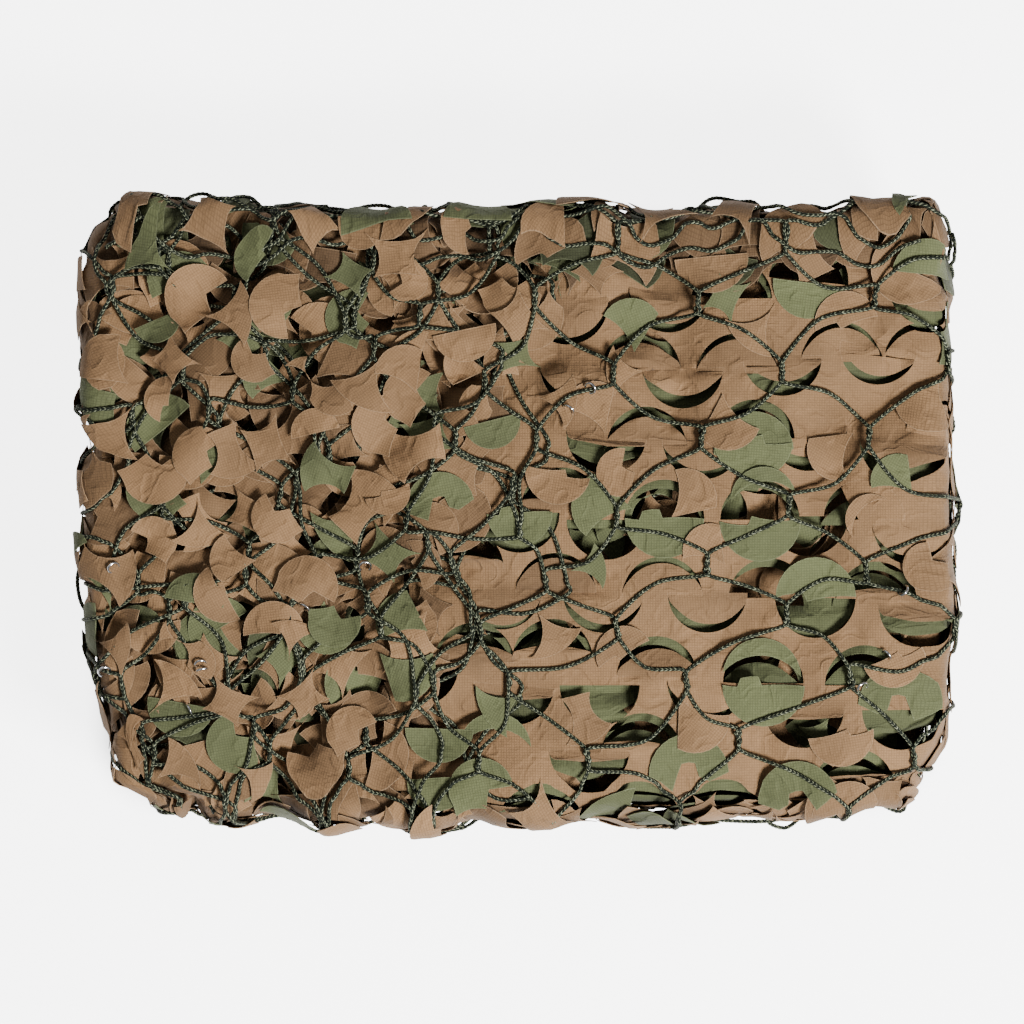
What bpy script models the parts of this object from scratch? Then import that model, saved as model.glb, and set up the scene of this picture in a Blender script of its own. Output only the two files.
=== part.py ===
"""A camouflage net folded into a flat bundle and lying on its back.

Two cloths, brown outside and green beneath it, are cut with the same half-circle die and
folded back and forth together. A knotless cord net lies over the face, and small wire rings
hold cloth to cord. X runs along the folds' travel, Y across the cloth and Z up; the bundle
rests on z = 0 with the origin under its middle.
"""

import math
import random

import bmesh
import bpy
from mathutils import Vector
from mathutils.bvhtree import BVHTree

MM = 0.001
SOLVER = "EXACT"

# The bundle.
LENGTH = 509 * MM
WIDTH = 357 * MM
LAYERS = 8
LAYER_PITCH = 15.4 * MM
PLY = 3.2 * MM
PLY_GAP = 1.4 * MM
PLY_OFFSET = (PLY + PLY_GAP) / 2
LOWEST_MIDDLE = PLY + PLY_GAP / 2
TURN_LIFT = 0.5 * MM
TURN_RISE = 0.1

# How far the cloth's ends and sides stand in from a plain rectangle.
# Columns: share of the width from the near side, left end in, right end in (mm).
END_INSETS = (
    (0.00, 42, 29),
    (0.05, 27, 23),
    (0.12, 17, 8),
    (0.25, 12, 1),
    (0.45, 3, 2),
    (0.65, 0, 3),
    (0.85, 2, 3),
    (0.93, 6, 8),
    (1.00, 19, 17),
)
# Columns: share of the length from the left end, near side in, far side in (mm).
SIDE_INSETS = (
    (0.00, 10, 12),
    (0.10, 0, 6),
    (0.25, 1, 2),
    (0.45, 1, 6),
    (0.60, 2, 2),
    (0.80, 4, 4),
    (0.90, 8, 0),
    (1.00, 13, 3),
)

# The soft lumps of the top fold. Columns: middle x, y, reach in x, y, height (mm).
LUMPS = (
    (130, -20, 120, 120, 4),
    (-88, 66, 42, 52, 7),
    (-106, -40, 40, 50, 6),
    (-160, 108, 42, 34, -5),
    (-186, 45, 40, 44, 5),
    (-140, 8, 30, 34, -6),
    (-190, -40, 36, 34, -4),
    (-172, -104, 46, 34, 5),
    (-96, -128, 40, 28, -4),
    (-30, 0, 26, 90, -4),
    (-20, 122, 44, 26, 5),
    (62, 118, 40, 30, -4),
    (190, 132, 40, 24, 5),
    (226, -20, 26, 60, -4),
    (70, -150, 60, 22, 4),
)
LUMP_FADE = 0.45
LUMP_SINK = 12 * MM
END_EASE = 4

# The top fold's sides hang over the layers below.
# Columns: share of the width from the side, in from the outline, down (mm).
SIDE_ROLL = (
    (0.000, 1, 34),
    (0.035, 0, 16),
    (0.090, 9, 3),
    (0.190, 36, 0),
    (0.500, None, 0),
)
# The same for its free end, by share of the length.
END_ROLL = (
    (0.000, 1, 30),
    (0.030, 0, 15),
    (0.075, 9, 3),
    (0.140, 32, 0),
    (1.000, None, 0),
)
ROLL_ENDS = 0.76
UNDER_ROLL = 14 * MM
TOP_ACROSS = (0.0, 0.035, 0.09, 0.19, 0.34, 0.5, 0.66, 0.81, 0.91, 0.965, 1.0)
TOP_ALONG = (0.0, 0.03, 0.075, 0.14, 0.21, 0.28, 0.35, 0.42, 0.49, 0.56, 0.63, 0.71, 0.8, 0.9, 1.0)
LOWER_ALONG = (0.72, 0.46, 0.2)
TURN_STEPS = 4

# Each turn of the cloth reaches a little less or more than the outline.
# Columns: in from the outline at the near side, middle and far side (mm).
TURN_INSETS = (
    (0, 0, 0),
    (15, 16, 15),
    (7, 2, 6),
    (3, 7, 1),
    (2, 0, 8),
    (8, 3, 2),
    (5, 9, 4),
)
# Columns for each layer: near side in, far side in (mm).
LAYER_INSETS = ((0, 0), (0, 0), (2, 1), (9, 8), (12, 7), (8, 11), (10, 8), (13, 11))

# The die: upper and lower half circles in turn along a row.
DIE_RADIUS = 23.5 * MM
DIE_STRIP = 2.5 * MM
DIE_PITCH = 60 * MM
DIE_SHIFT = 30 * MM
ROW_PITCH = 46 * MM
GREEN_SLIP = 5 * MM
ARC_STEPS = 5
LEAF = 1.5 * MM
LEAF_ROOM = 1.0 * MM
BROWN_CLEAR = -0.6 * MM
GREEN_CLEAR = 0.5 * MM
RAISE_PASSES = 2
ROOT_SHARES = (0.25, 0.5, 0.75)
ROOT_DEPTH = 1.4 * MM
LIFTED_ROOT = 2.2 * MM
LIFTED_SINK = 1.3 * MM
TURNED_ROOT = 1.2 * MM
TURNED_START = 0.9 * MM
# Leaf forms: the root's half width, then (forward, half width), all as shares of the radius.
LEAF_FORMS = {
    "half": (0.97, (0.45, 0.86), (0.82, 0.52), (0.98, 0)),
    "web": (0.7, (0.55, 0.42), (1.25, 0.74)),
}
# A green leaf turned out. Columns: forward, half width, height over the brown cloth (mm).
GREEN_FORM = (
    (-2, 18, 2.1),
    (2, 21.5, 3.3),
    (12, 19, 3.3),
    (19, 11.5, 3.3),
    (22.5, 0, 3.3),
)
GREEN_ROOT = 9 * MM
GREEN_ROOT_WIDTH = 14 * MM
GREEN_SINK = 0.8 * MM
CUT_ABOVE = 8 * MM
CUT_BELOW = 9 * MM

# How each cut lies in the flat right part of the top fold, from the far row to the near
# one. Letters: r leaf lifted, f leaf turned back, g green leaf turned out, u not opened.
FIRST_COLUMN = 23 * MM
FIRST_ROW = 134 * MM
# Columns: upper half circles, lower half circles.
DIE_ROWS = (
    ("uuuu", "rru"),
    ("urur", "rrr"),
    ("rrgr", "ruu"),
    ("rfgf", "uuu"),
    ("rruu", "rrg"),
    ("rrgu", "ruu"),
    ("uggr", "uuu"),
)

# Green leaves turned out in the crumpled left part. Columns: x, y (mm), way they point (degrees).
GREEN_LEAVES = (
    (-79, 132, 90),
    (-188, 128, -60),
    (-143, 122, 15),
    (-203, 46, 40),
    (-52, 12, 200),
    (-6, 88, -75),
    (-98, -10, 80),
    (-190, -110, 170),
    (-62, -86, -100),
    (-11, -128, -90),
    (-157, -128, -90),
    (166, 130, 90),
    (212, -94, -50),
)
GREEN_KEEP = 24.5 * MM
# Brown leaves standing from the crumpled part. Columns: x, y (mm), way they point
# (degrees), slope (degrees), form.
BROWN_LEAVES = (
    (-216, 118, 170, 24, "web"),
    (-200, 98, 220, 30, "half"),
    (-170, 88, -20, 26, "web"),
    (-102, 80, 320, 28, "half"),
    (-94, 112, 230, 24, "web"),
    (-60, 118, 300, 30, "half"),
    (-122, 60, 120, 34, "half"),
    (-152, 50, -110, 26, "web"),
    (-92, 40, 190, 30, "web"),
    (-60, 62, 80, 26, "half"),
    (-30, 52, 320, 24, "web"),
    (-170, 14, -60, 32, "half"),
    (-214, 0, 180, 26, "half"),
    (-132, 10, 130, 28, "web"),
    (-208, -26, 20, 30, "web"),
    (-172, -34, 150, 34, "half"),
    (-132, -36, 120, 28, "web"),
    (-84, -32, 290, 26, "half"),
    (-50, -40, -45, 30, "web"),
    (-222, -56, -60, 20, "web"),
    (-200, -76, 60, 28, "half"),
    (-146, -80, 100, 30, "web"),
    (-112, -82, -140, 32, "half"),
    (-90, -118, 190, 26, "web"),
    (-130, -140, 310, 26, "half"),
    (-66, -134, 270, 28, "half"),
    (-24, -100, 80, 24, "web"),
    (-206, 146, 110, 24, "half"),
    (-20, 132, 90, 24, "half"),
)
# The slopes of every kind of leaf, free and where a strand of the net lies over it (degrees).
SLOPES = {"standing": (None, 12), "lifted": (26, 12), "turned back": (16, 8), "green": (14, 6)}
# Leaves at the sides of the lower layers. Columns: layer, share of the length from the left
# end, side (0 near, 1 far), cloth (1 brown, -1 green), droop at the tip (mm).
SIDE_LEAVES = (
    (3, 0.13, 0, 1, -1),
    (3, 0.36, 0, -1, 2),
    (3, 0.60, 0, 1, 1),
    (3, 0.84, 0, -1, -1),
    (4, 0.22, 0, 1, -2),
    (4, 0.50, 0, -1, 1),
    (4, 0.74, 0, 1, -1),
    (5, 0.12, 0, -1, 1),
    (5, 0.38, 0, 1, 2),
    (5, 0.64, 0, 1, -1),
    (5, 0.86, 0, -1, 2),
    (6, 0.24, 0, 1, 1),
    (6, 0.52, 0, -1, -2),
    (6, 0.78, 0, 1, 1),
    (3, 0.16, 1, -1, 2),
    (3, 0.42, 1, 1, -1),
    (3, 0.68, 1, -1, 1),
    (4, 0.28, 1, 1, 2),
    (4, 0.56, 1, 1, -1),
    (4, 0.82, 1, -1, 1),
    (5, 0.18, 1, 1, -2),
    (5, 0.44, 1, -1, 1),
    (5, 0.72, 1, 1, 2),
    (6, 0.32, 1, -1, 1),
    (6, 0.60, 1, 1, -1),
    (6, 0.84, 1, 1, 2),
)
SIDE_LEAF_ROWS = ((-4, 15), (4, 17), (9, 13), (13, 5))
# Leaves hanging from the top fold's border. Columns: row along the fold, side, half width (mm).
HANGING_LEAVES = (
    (3, 0, 15),
    (5, 0, 13),
    (6, 0, 16),
    (8, 0, 14),
    (9, 0, 16),
    (11, 0, 13),
    (4, 1, 15),
    (5, 1, 12),
    (7, 1, 16),
    (9, 1, 14),
    (10, 1, 16),
)
HANGING_LEAF_ROWS = ((-4, 1.0), (5, 0.9), (9, 0.45))

# The net. Columns: y of a row of joints, x of one joint in it (mm).
NET_ROWS = (
    (184, 108),
    (151, 154),
    (117, 110),
    (81, 156),
    (43, 110),
    (2, 158),
    (-30, 108),
    (-62, 152),
    (-101, 92),
    (-138, 130),
    (-175, 100),
)
NET_PITCH = 93.4 * MM
NET_TIGHT_PITCH = 61 * MM
NET_TIGHT_FROM = 26 * MM
NET_INDEXES = range(-6, 3)
BAR_BOW = 0.05
NET_WANDER = 5 * MM
NET_TIGHT_WANDER = 11 * MM
NET_OVERHANG = 15 * MM
CORD = 1.6 * MM
CORD_SIDES = 3
CORD_ROOM = 0.55 * MM
JOINT_RUN = 5.5 * MM
JOINT_LAP = 0.6 * MM
LONG_BAR = 3 * JOINT_RUN
ODD_LIFT = 0.55 * MM
NET_SEED = 8
ROUND_CORE = 22 * MM
LOOK_AROUND = 3 * MM
LOOK_SPINS = 8
LOOK_EVERY = 3 * MM
LOOK_FROM = 0.2
SEAT_PASSES = 6
MOST_TURN = math.radians(21)

# The rings. Columns: x, y (mm) of the place on the net nearest to which each is closed.
CLIPS = (
    (30, 63),
    (48, 64),
    (-89, -32),
    (-114, -59),
    (-224, -27),
    (-191, -90),
    (-173, -90),
    (-178, -125),
    (232, -52),
    (228, -74),
    (195, -100),
    (-236, -90),
)
CLIP_RADIUS = 2.9 * MM
CLIP_WIRE = 0.6 * MM
CLIP_FROM = -22
CLIP_TO = 202
CLIP_STEPS = 8
CLIP_SIDES = 5
CLIP_KEEP = 0.2


def interpolate(table, at, column):
    """The value of a column of a table whose first column is a rising share."""
    for low, high in zip(table, table[1:]):
        if at <= high[0]:
            part = (at - low[0]) / (high[0] - low[0])
            return low[column] + (high[column] - low[column]) * max(0, part)
    return table[-1][column]


def outline(along, across):
    """The x of both ends and the y of both sides at a share of the length and the width."""
    left = -LENGTH / 2 + interpolate(END_INSETS, across, 1) * MM
    right = LENGTH / 2 - interpolate(END_INSETS, across, 2) * MM
    near = -WIDTH / 2 + interpolate(SIDE_INSETS, along, 1) * MM
    far = WIDTH / 2 - interpolate(SIDE_INSETS, along, 2) * MM
    return left, right, near, far


def rolled(table, share, full):
    """How far in from the outline and how far down a hanging border lies at a share."""
    rows = [(row[0], full if row[1] is None else row[1] * MM, row[2] * MM) for row in table]
    return interpolate(rows, share, 1), interpolate(rows, share, 2)


def lumps(x, y):
    height = 0
    for middle_x, middle_y, reach_x, reach_y, rise in LUMPS:
        dx = (x / MM - middle_x) / reach_x
        dy = (y / MM - middle_y) / reach_y
        height += rise * math.exp(-dx * dx - dy * dy) * MM
    return height


def turn_inset(turn, across):
    near, middle, far = TURN_INSETS[turn]
    return interpolate(((0, near), (0.5, middle), (1, far)), across, 1) * MM


def layer_ends(layer, along, across):
    """The x of the layer's left and right ends, where its turns begin."""
    left, right, _, _ = outline(along, across)
    reach = LAYER_PITCH / 2 + PLY_OFFSET + PLY / 2
    right_turn = layer if layer % 2 == 0 else layer - 1
    left_turn = layer if layer % 2 == 1 else layer - 1
    right -= reach + turn_inset(min(right_turn, LAYERS - 2), across)
    if layer == 0:
        return left, right
    if layer == LAYERS - 1:
        return left + TURN_INSETS[-1][1] * MM, right
    return left + reach + turn_inset(left_turn, across), right


def top_point(along, across):
    """The middle of the top layer, with its sides and its free end hanging down."""
    left, right = layer_ends(0, along, across)
    _, _, near, far = outline(along, across)
    end_in, end_drop = rolled(END_ROLL, along, right - left)
    x = left + end_in
    share = min(across, 1 - across)
    side_in, side_drop = rolled(SIDE_ROLL, share, (far - near) / 2)
    hang = min(1, (1 - along) / (1 - ROLL_ENDS))
    side_in = hang * side_in + (1 - hang) * share * (far - near)
    y = near + side_in if across <= 0.5 else far - side_in
    drop = ((hang * side_drop) ** 3 + end_drop**3) ** (1 / 3)
    z = LOWEST_MIDDLE + (LAYERS - 1) * LAYER_PITCH - drop
    flat = (1 - min(1, drop / LUMP_SINK)) * min(1, END_EASE * (1 - along))
    return Vector((x, y, z + lumps(x, y) * flat))


def lower_point(layer, along, across):
    """The middle of one of the layers under the top one."""
    left, right = layer_ends(layer, along, across)
    _, _, near, far = outline(along, across)
    near_in, far_in = LAYER_INSETS[layer]
    under = UNDER_ROLL if layer < 3 else 0
    near += near_in * MM + under
    far -= far_in * MM + under
    x = left + (right - left) * along
    y = near + (far - near) * across
    z = LOWEST_MIDDLE + (LAYERS - 1 - layer) * LAYER_PITCH
    if layer < LAYERS - 1:
        ease = min(1, END_EASE * (1 - along)) * min(1, END_EASE * along)
        z += lumps(x, y) * LUMP_FADE**layer * ease
    else:
        z += TURN_LIFT * max(0, 1 - (1 - along) / TURN_RISE)
    return Vector((x, y, z))


def layer_point(layer, along, across):
    return lower_point(layer, along, across) if layer else top_point(along, across)


def turn_rows(layer, shares):
    """The rows of points around the turn from one layer to the next."""
    end = 1 if layer % 2 == 0 else 0
    way = 1 if end else -1
    rows = []
    for step in range(1, TURN_STEPS):
        angle = math.pi * step / TURN_STEPS
        row = []
        for across in shares:
            upper = layer_point(layer, end, across)
            lower = layer_point(layer + 1, end, across)
            middle = (upper + lower) / 2
            radius = (upper.z - lower.z) / 2
            part = (1 - math.cos(angle)) / 2
            y = upper.y + (lower.y - upper.y) * part
            x = upper.x + (lower.x - upper.x) * part + way * radius * math.sin(angle)
            row.append(Vector((x, y, middle.z + radius * math.cos(angle))))
        rows.append(row)
    return rows


def sheet_rows():
    """Rows of points along the folded sheet, from the top layer's free end to the bottom one."""
    rows = [[top_point(along, across) for across in TOP_ACROSS] for along in TOP_ALONG]
    coarse = TOP_ACROSS[::2]
    for layer in range(LAYERS - 1):
        rows += turn_rows(layer, coarse)
        shares = (1.0, *LOWER_ALONG, 0.0) if layer % 2 == 0 else (0.0, *reversed(LOWER_ALONG), 1.0)
        rows += [[lower_point(layer + 1, along, across) for across in coarse] for along in shares]
    return rows


def sheet_mesh(rows):
    """The sheet's surface, with its faces turned to the brown side."""
    bm = bmesh.new()
    grid = [[bm.verts.new(point) for point in row] for row in rows]
    for row, following in zip(grid, grid[1:]):
        ratio = (len(row) - 1) // (len(following) - 1)
        for step in range(len(following) - 1):
            here = row[step * ratio : (step + 1) * ratio + 1]
            middle = len(here) // 2
            bm.faces.new((following[step], following[step + 1], here[middle]))
            for index in range(ratio):
                apex = following[step if index < middle else step + 1]
                bm.faces.new((apex, here[index + 1], here[index]))
    bm.normal_update()
    return bm


def material(name, colour, roughness, metallic=0.0):
    made = bpy.data.materials.new(name)
    made.use_nodes = True
    shader = made.node_tree.nodes["Principled BSDF"]
    shader.inputs["Base Color"].default_value = (*colour, 1)
    shader.inputs["Roughness"].default_value = roughness
    shader.inputs["Metallic"].default_value = metallic
    return made


def add_object(name, bm, finish=None):
    mesh = bpy.data.meshes.new(name)
    bm.to_mesh(mesh)
    bm.free()
    made = bpy.data.objects.new(name, mesh)
    bpy.context.scene.collection.objects.link(made)
    if finish:
        mesh.materials.append(finish)
    return made


def add_helper(name, bm):
    """A shape that is only cut from or joined to another."""
    made = add_object(name, bm)
    made.hide_render = True
    made.display_type = "WIRE"
    return made


def add_boolean(target, helper, operation):
    modifier = target.modifiers.new(helper.name, "BOOLEAN")
    modifier.operation = operation
    modifier.solver = SOLVER
    modifier.object = helper


def round_for(rounds, points):
    """The first round of shapes in which no other shape's box meets the box of these points."""
    low = [min(point[axis] for point in points) for axis in range(3)]
    high = [max(point[axis] for point in points) for axis in range(3)]
    for bm, boxes in rounds:
        if not any(
            all(low[axis] < other_high[axis] and other_low[axis] < high[axis] for axis in range(3))
            for other_low, other_high in boxes
        ):
            boxes.append((low, high))
            return bm
    rounds.append((bmesh.new(), [(low, high)]))
    return rounds[-1][0]


def apply_rounds(target, rounds, name, operation):
    """Cuts or joins the shapes in rounds, because the shapes of one round don't cross."""
    for number, (bm, _) in enumerate(rounds, 1):
        add_boolean(target, add_helper(f"{target.name}_{name}_{number}", bm), operation)


def ply(name, rows, side, finish):
    """One cloth of the pair, offset from the pair's middle and given its thickness."""
    bm = sheet_mesh(rows)
    moved = [vert.co + vert.normal * side * PLY_OFFSET * vert.calc_shell_factor() for vert in bm.verts]
    for vert, place in zip(bm.verts, moved):
        vert.co = place
    made = add_object(name, bm, finish)
    thicken = made.modifiers.new("cloth", "SOLIDIFY")
    thicken.thickness = PLY
    thicken.offset = 0
    thicken.use_even_offset = True
    return made


def surface(*objects):
    """Search trees of the objects as they now stand."""
    bpy.context.view_layer.update()
    graph = bpy.context.evaluated_depsgraph_get()
    return [BVHTree.FromObject(made, graph) for made in objects]


def height(trees, x, y):
    """The highest point of the cloth at a place, or None beside it."""
    found = [tree.ray_cast(Vector((x, y, 1)), Vector((0, 0, -1)))[0] for tree in trees]
    return max((hit.z for hit in found if hit), default=None)


def place(x, y, degrees, forward, sideways):
    """A point's plan place from a leaf's own axes."""
    angle = math.radians(degrees)
    return (
        x + forward * math.cos(angle) - sideways * math.sin(angle),
        y + forward * math.sin(angle) + sideways * math.cos(angle),
    )


def half_disc(radius):
    """A half circle's rim from one end of its straight edge to the other."""
    steps = [math.pi * step / ARC_STEPS - math.pi / 2 for step in range(ARC_STEPS + 1)]
    return [(radius * math.cos(angle), radius * math.sin(angle)) for angle in steps]


def close_prism(bm, upper, lower):
    """Faces around and over two like rings of points."""
    top = [bm.verts.new(point) for point in upper]
    base = [bm.verts.new(point) for point in lower]
    bm.faces.new(top)
    bm.faces.new(list(reversed(base)))
    for index, vert in enumerate(top):
        after = (index + 1) % len(top)
        bm.faces.new((vert, base[index], base[after], top[after]))


def add_cut(rounds, trees, x, y, degrees):
    """A half-circle cutter through the top layer of one cloth."""
    upper = []
    lower = []
    for forward, sideways in half_disc(DIE_RADIUS):
        px, py = place(x, y, degrees, forward, sideways)
        level = height(trees, px, py)
        if level is None:
            return
        upper.append((px, py, level + CUT_ABOVE))
        lower.append((px, py, level - CUT_BELOW))
    close_prism(round_for(rounds, upper + lower), upper, lower)


def add_leaf(rounds, trees, x, y, degrees, rows, clear):
    """A leaf from rows of (forward, half width, height over the cloth); the last may be a tip."""
    upper = []
    for forward, half_width, rise in rows:
        ends = (-half_width, half_width) if half_width else (0,)
        points = []
        for sideways in ends:
            px, py = place(x, y, degrees, forward, sideways)
            level = height(trees, px, py)
            if level is None:
                return
            points.append(Vector((px, py, level + rise)))
        upper.append(points)
    raise_over(trees, upper, clear + LEAF)
    close_leaf(rounds, upper, Vector((0, 0, -LEAF)))


def raise_over(trees, rows, room):
    """Raises each row of a leaf after its root until the leaf clears the cloth between its corners."""
    if room < LEAF:
        root = [rows[0][0].lerp(rows[0][-1], across) for across in ROOT_SHARES]
        short = max(height(trees, point.x, point.y) - ROOT_DEPTH - point.z for point in root)
        for point in rows[0]:
            point.z += max(0, short)
    for before, row in zip(rows, rows[1:]):
        for _ in range(RAISE_PASSES):
            short = 0
            for share in (0.5, 0.75, 1):
                low = before[0].lerp(row[0], share)
                high = before[-1].lerp(row[-1], share)
                for across in (0, *ROOT_SHARES, 1):
                    point = low.lerp(high, across)
                    level = height(trees, point.x, point.y)
                    if level is not None:
                        short = max(short, (level + room - point.z) / share)
            for point in row:
                point.z += short


def close_leaf(rounds, upper, down):
    """A plate from the rows of points on its upper face; a row may be a single tip."""
    corners = [point for row in upper for point in row]
    bm = round_for(rounds, corners + [point + down for point in corners])
    top = [[bm.verts.new(point) for point in row] for row in upper]
    base = [[bm.verts.new(point + down) for point in row] for row in upper]
    for layer, turned in ((top, False), (base, True)):
        for row, following in zip(layer, layer[1:]):
            face = [row[0], *following, row[-1]]
            bm.faces.new(face if not turned else list(reversed(face)))
    rim = [row[-1] for row in top] + [row[0] for row in reversed(top) if len(row) > 1]
    under = [row[-1] for row in base] + [row[0] for row in reversed(base) if len(row) > 1]
    for index, vert in enumerate(rim):
        after = (index + 1) % len(rim)
        bm.faces.new((vert, rim[after], under[after], under[index]))


def add_side_leaf(rounds, layer, along, side, cloth, droop):
    """A leaf that juts from the side of a lower layer."""
    out = 1 if side else -1
    upper = []
    for forward, half_width in SIDE_LEAF_ROWS:
        row = []
        for sideways in (-half_width * MM, half_width * MM):
            point = lower_point(layer, along, side)
            point.x += sideways * -out
            point.y += forward * MM * out
            lean = max(0, forward) / SIDE_LEAF_ROWS[-1][0]
            point.z += cloth * PLY_OFFSET * (1 if layer % 2 == 0 else -1) + LEAF / 2 - droop * MM * lean
            row.append(point)
        upper.append(row)
    close_leaf(rounds, upper, Vector((0, 0, -LEAF)))


def add_hanging_leaf(rounds, station, side, half_width):
    """A leaf that hangs from the border of the top fold."""
    out = 1 if side else -1
    edge = top_point(TOP_ALONG[station], side)
    upper = []
    for down, share in HANGING_LEAF_ROWS:
        y = edge.y + out * (PLY_OFFSET + LEAF / 2)
        ends = (-half_width * share * MM * -out, half_width * share * MM * -out)
        upper.append([Vector((edge.x + sideways, y, edge.z - down * MM)) for sideways in ends])
    close_leaf(rounds, upper, Vector((0, -out * LEAF, 0)))


def leaf_rows(form, root, start, slope):
    """A leaf's rows: its root's place and width share, then its form rising at a slope."""
    radius = DIE_RADIUS - LEAF_ROOM
    rise = math.tan(math.radians(slope))
    rows = [(root, radius * LEAF_FORMS[form][0], start)]
    for at, wide in LEAF_FORMS[form][1:]:
        rows.append((radius * at, radius * wide, start + radius * at * rise))
    return rows


def lifted_rows(slope):
    """A half disc hinged on its own cut and lifted out of it."""
    return leaf_rows("half", -LIFTED_ROOT, -LIFTED_SINK, slope)


def turned_rows(slope, form):
    """A leaf that grows out of the cloth's face."""
    return leaf_rows(form, TURNED_ROOT, TURNED_START, slope)


def green_rows(slope):
    """A green half disc that comes up through a brown cut and lies over the brown cloth."""
    rise = math.tan(math.radians(slope))
    rows = [(-GREEN_ROOT, GREEN_ROOT_WIDTH, -(PLY + PLY_GAP) - GREEN_SINK)]
    for forward, half_width, over in GREEN_FORM:
        rows.append((forward * MM, half_width * MM, over * MM + max(0, forward) * MM * rise))
    return rows


def leaf_is_clear(x, y, degrees, rows, greens):
    """Whether a brown leaf stays beside every green leaf that is turned out."""
    for forward, half_width, _ in rows:
        for sideways in (-half_width, 0, half_width):
            px, py = place(x, y, degrees, forward, sideways)
            if any(math.hypot(px - gx, py - gy) < GREEN_KEEP for gx, gy in greens):
                return False
    return True


def under_cord(strands, x, y):
    """1 where a strand of the net passes over a leaf, else 0."""
    for strand in strands:
        for point in strand:
            if math.hypot(point[0] - x, point[1] - y) < DIE_RADIUS:
                return 1
    return 0


def die_cells():
    """Each opened cut of the flat part: its kind, its place and the way its leaf points."""
    for row, (uppers, lowers) in enumerate(DIE_ROWS):
        y = FIRST_ROW - row * ROW_PITCH
        for column, kind in enumerate(uppers):
            yield kind, FIRST_COLUMN + column * DIE_PITCH, y + DIE_STRIP, 90
        for column, kind in enumerate(lowers):
            yield kind, FIRST_COLUMN + column * DIE_PITCH + DIE_SHIFT, y - DIE_STRIP, -90


def net_joint(row, index, dice):
    """The flat place of a joint of the net, closer together in the crumpled part."""
    y, start = NET_ROWS[row]
    x = start * MM + index * NET_PITCH
    wander = NET_WANDER
    if x < NET_TIGHT_FROM:
        x = NET_TIGHT_FROM + (x - NET_TIGHT_FROM) * NET_TIGHT_PITCH / NET_PITCH
        wander = NET_TIGHT_WANDER
    return Vector((x + dice.uniform(-wander, wander), y * MM + dice.uniform(-wander, wander), 0))


def net_strands():
    """Flat routes of the strands, each zigzagging between two rows of joints."""
    dice = random.Random(NET_SEED)
    joints = [[net_joint(row, index, dice) for index in NET_INDEXES] for row in range(len(NET_ROWS))]
    strands = []
    for far, near in zip(joints, joints[1:]):
        turns = sorted([(point, 1) for point in far] + [(point, -1) for point in near], key=lambda t: t[0].x)
        route = []
        last = 0
        for point, way in turns:
            if way != last:
                lap = Vector((0, -way * JOINT_LAP, 0))
                run = Vector((JOINT_RUN, 0, 0))
                route += [point + lap - run, point + lap + run]
            last = way
        strands.append(with_middles(trimmed(route)))
    return strands


def trimmed(route):
    """The route cut off a little way down the bundle's two ends."""
    reach = LENGTH / 2 + NET_OVERHANG
    kept = []
    for before, after in zip(route, route[1:]):
        low = max(-reach, min(reach, before.x))
        high = max(-reach, min(reach, after.x))
        if low < high:
            run = after.x - before.x
            if not kept:
                kept.append(before.lerp(after, (low - before.x) / run))
            kept.append(before.lerp(after, (high - before.x) / run))
    return kept


def with_middles(route):
    """The route with a point added in each long bar, bowed a little as slack cord is."""
    points = [route[0]]
    for before, after in zip(route, route[1:]):
        bar = after - before
        if bar.length > LONG_BAR:
            points.append(before + bar / 2 + Vector((-bar.y, bar.x, 0)) * BAR_BOW)
        points.append(after)
    return points


def stand(place):
    """Where a flat place on the net lies round the bundle: a point inside it and the way out."""
    half_x = LENGTH / 2 - ROUND_CORE
    half_y = WIDTH / 2 - ROUND_CORE
    core = Vector((max(-half_x, min(half_x, place.x)), max(-half_y, min(half_y, place.y)), 0))
    beyond = place - core
    bend = ROUND_CORE * math.pi / 2
    angle = min(1, beyond.length / bend) * math.pi / 2
    core.z = LOWEST_MIDDLE + (LAYERS - 1) * LAYER_PITCH - ROUND_CORE - max(0, beyond.length - bend)
    return core, beyond.normalized() * math.sin(angle) + Vector((0, 0, math.cos(angle)))


def seat(trees, place):
    """The nearest point outside the cloth where a cord can lie at a flat place on the net."""
    core, way = stand(place)
    side = way.orthogonal().normalized() * LOOK_AROUND
    other = way.cross(side)
    spins = [2 * math.pi * turn / LOOK_SPINS for turn in range(LOOK_SPINS)]
    looks = [side * math.cos(spin) + other * math.sin(spin) for spin in spins]
    reach = 0
    for look in [Vector(), *looks]:
        for tree in trees:
            hit = tree.ray_cast(core + way * LOOK_FROM + look, -way)
            if hit[0]:
                reach = max(reach, LOOK_FROM - hit[3])
    return core + way * (reach + CORD + CORD_ROOM), way


def with_bends(route):
    """The route with points added where it goes over the bundle's rounded border."""
    points = [route[0]]
    for before, after in zip(route, route[1:]):
        turn = stand(before)[1].angle(stand(after)[1])
        parts = 1 + int(turn / MOST_TURN)
        points += [before.lerp(after, part / parts) for part in range(1, parts + 1)]
    return points


def laid_points(trees, route, lift):
    """The strand's points over the cloth, raised until its straight parts clear it too."""
    ways = []
    points = []
    for place in route:
        point, way = seat(trees, place)
        points.append(point)
        ways.append(way)
    needs = []
    for index, (before, after) in enumerate(zip(route, route[1:])):
        parts = max(2, math.ceil((after - before).length / LOOK_EVERY))
        for part in range(parts + 1):
            share = part / parts
            needs.append((index, share, *seat(trees, before.lerp(after, share))))
    for _ in range(SEAT_PASSES):
        for index, share, need, way in needs:
            short = (need - points[index].lerp(points[index + 1], share)).dot(way)
            if short > 0:
                whole = (1 - share) ** 2 + share**2
                points[index] += ways[index] * short * (1 - share) / whole
                points[index + 1] += ways[index + 1] * short * share / whole
    return [point + way * lift for point, way in zip(points, ways)], ways


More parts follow.
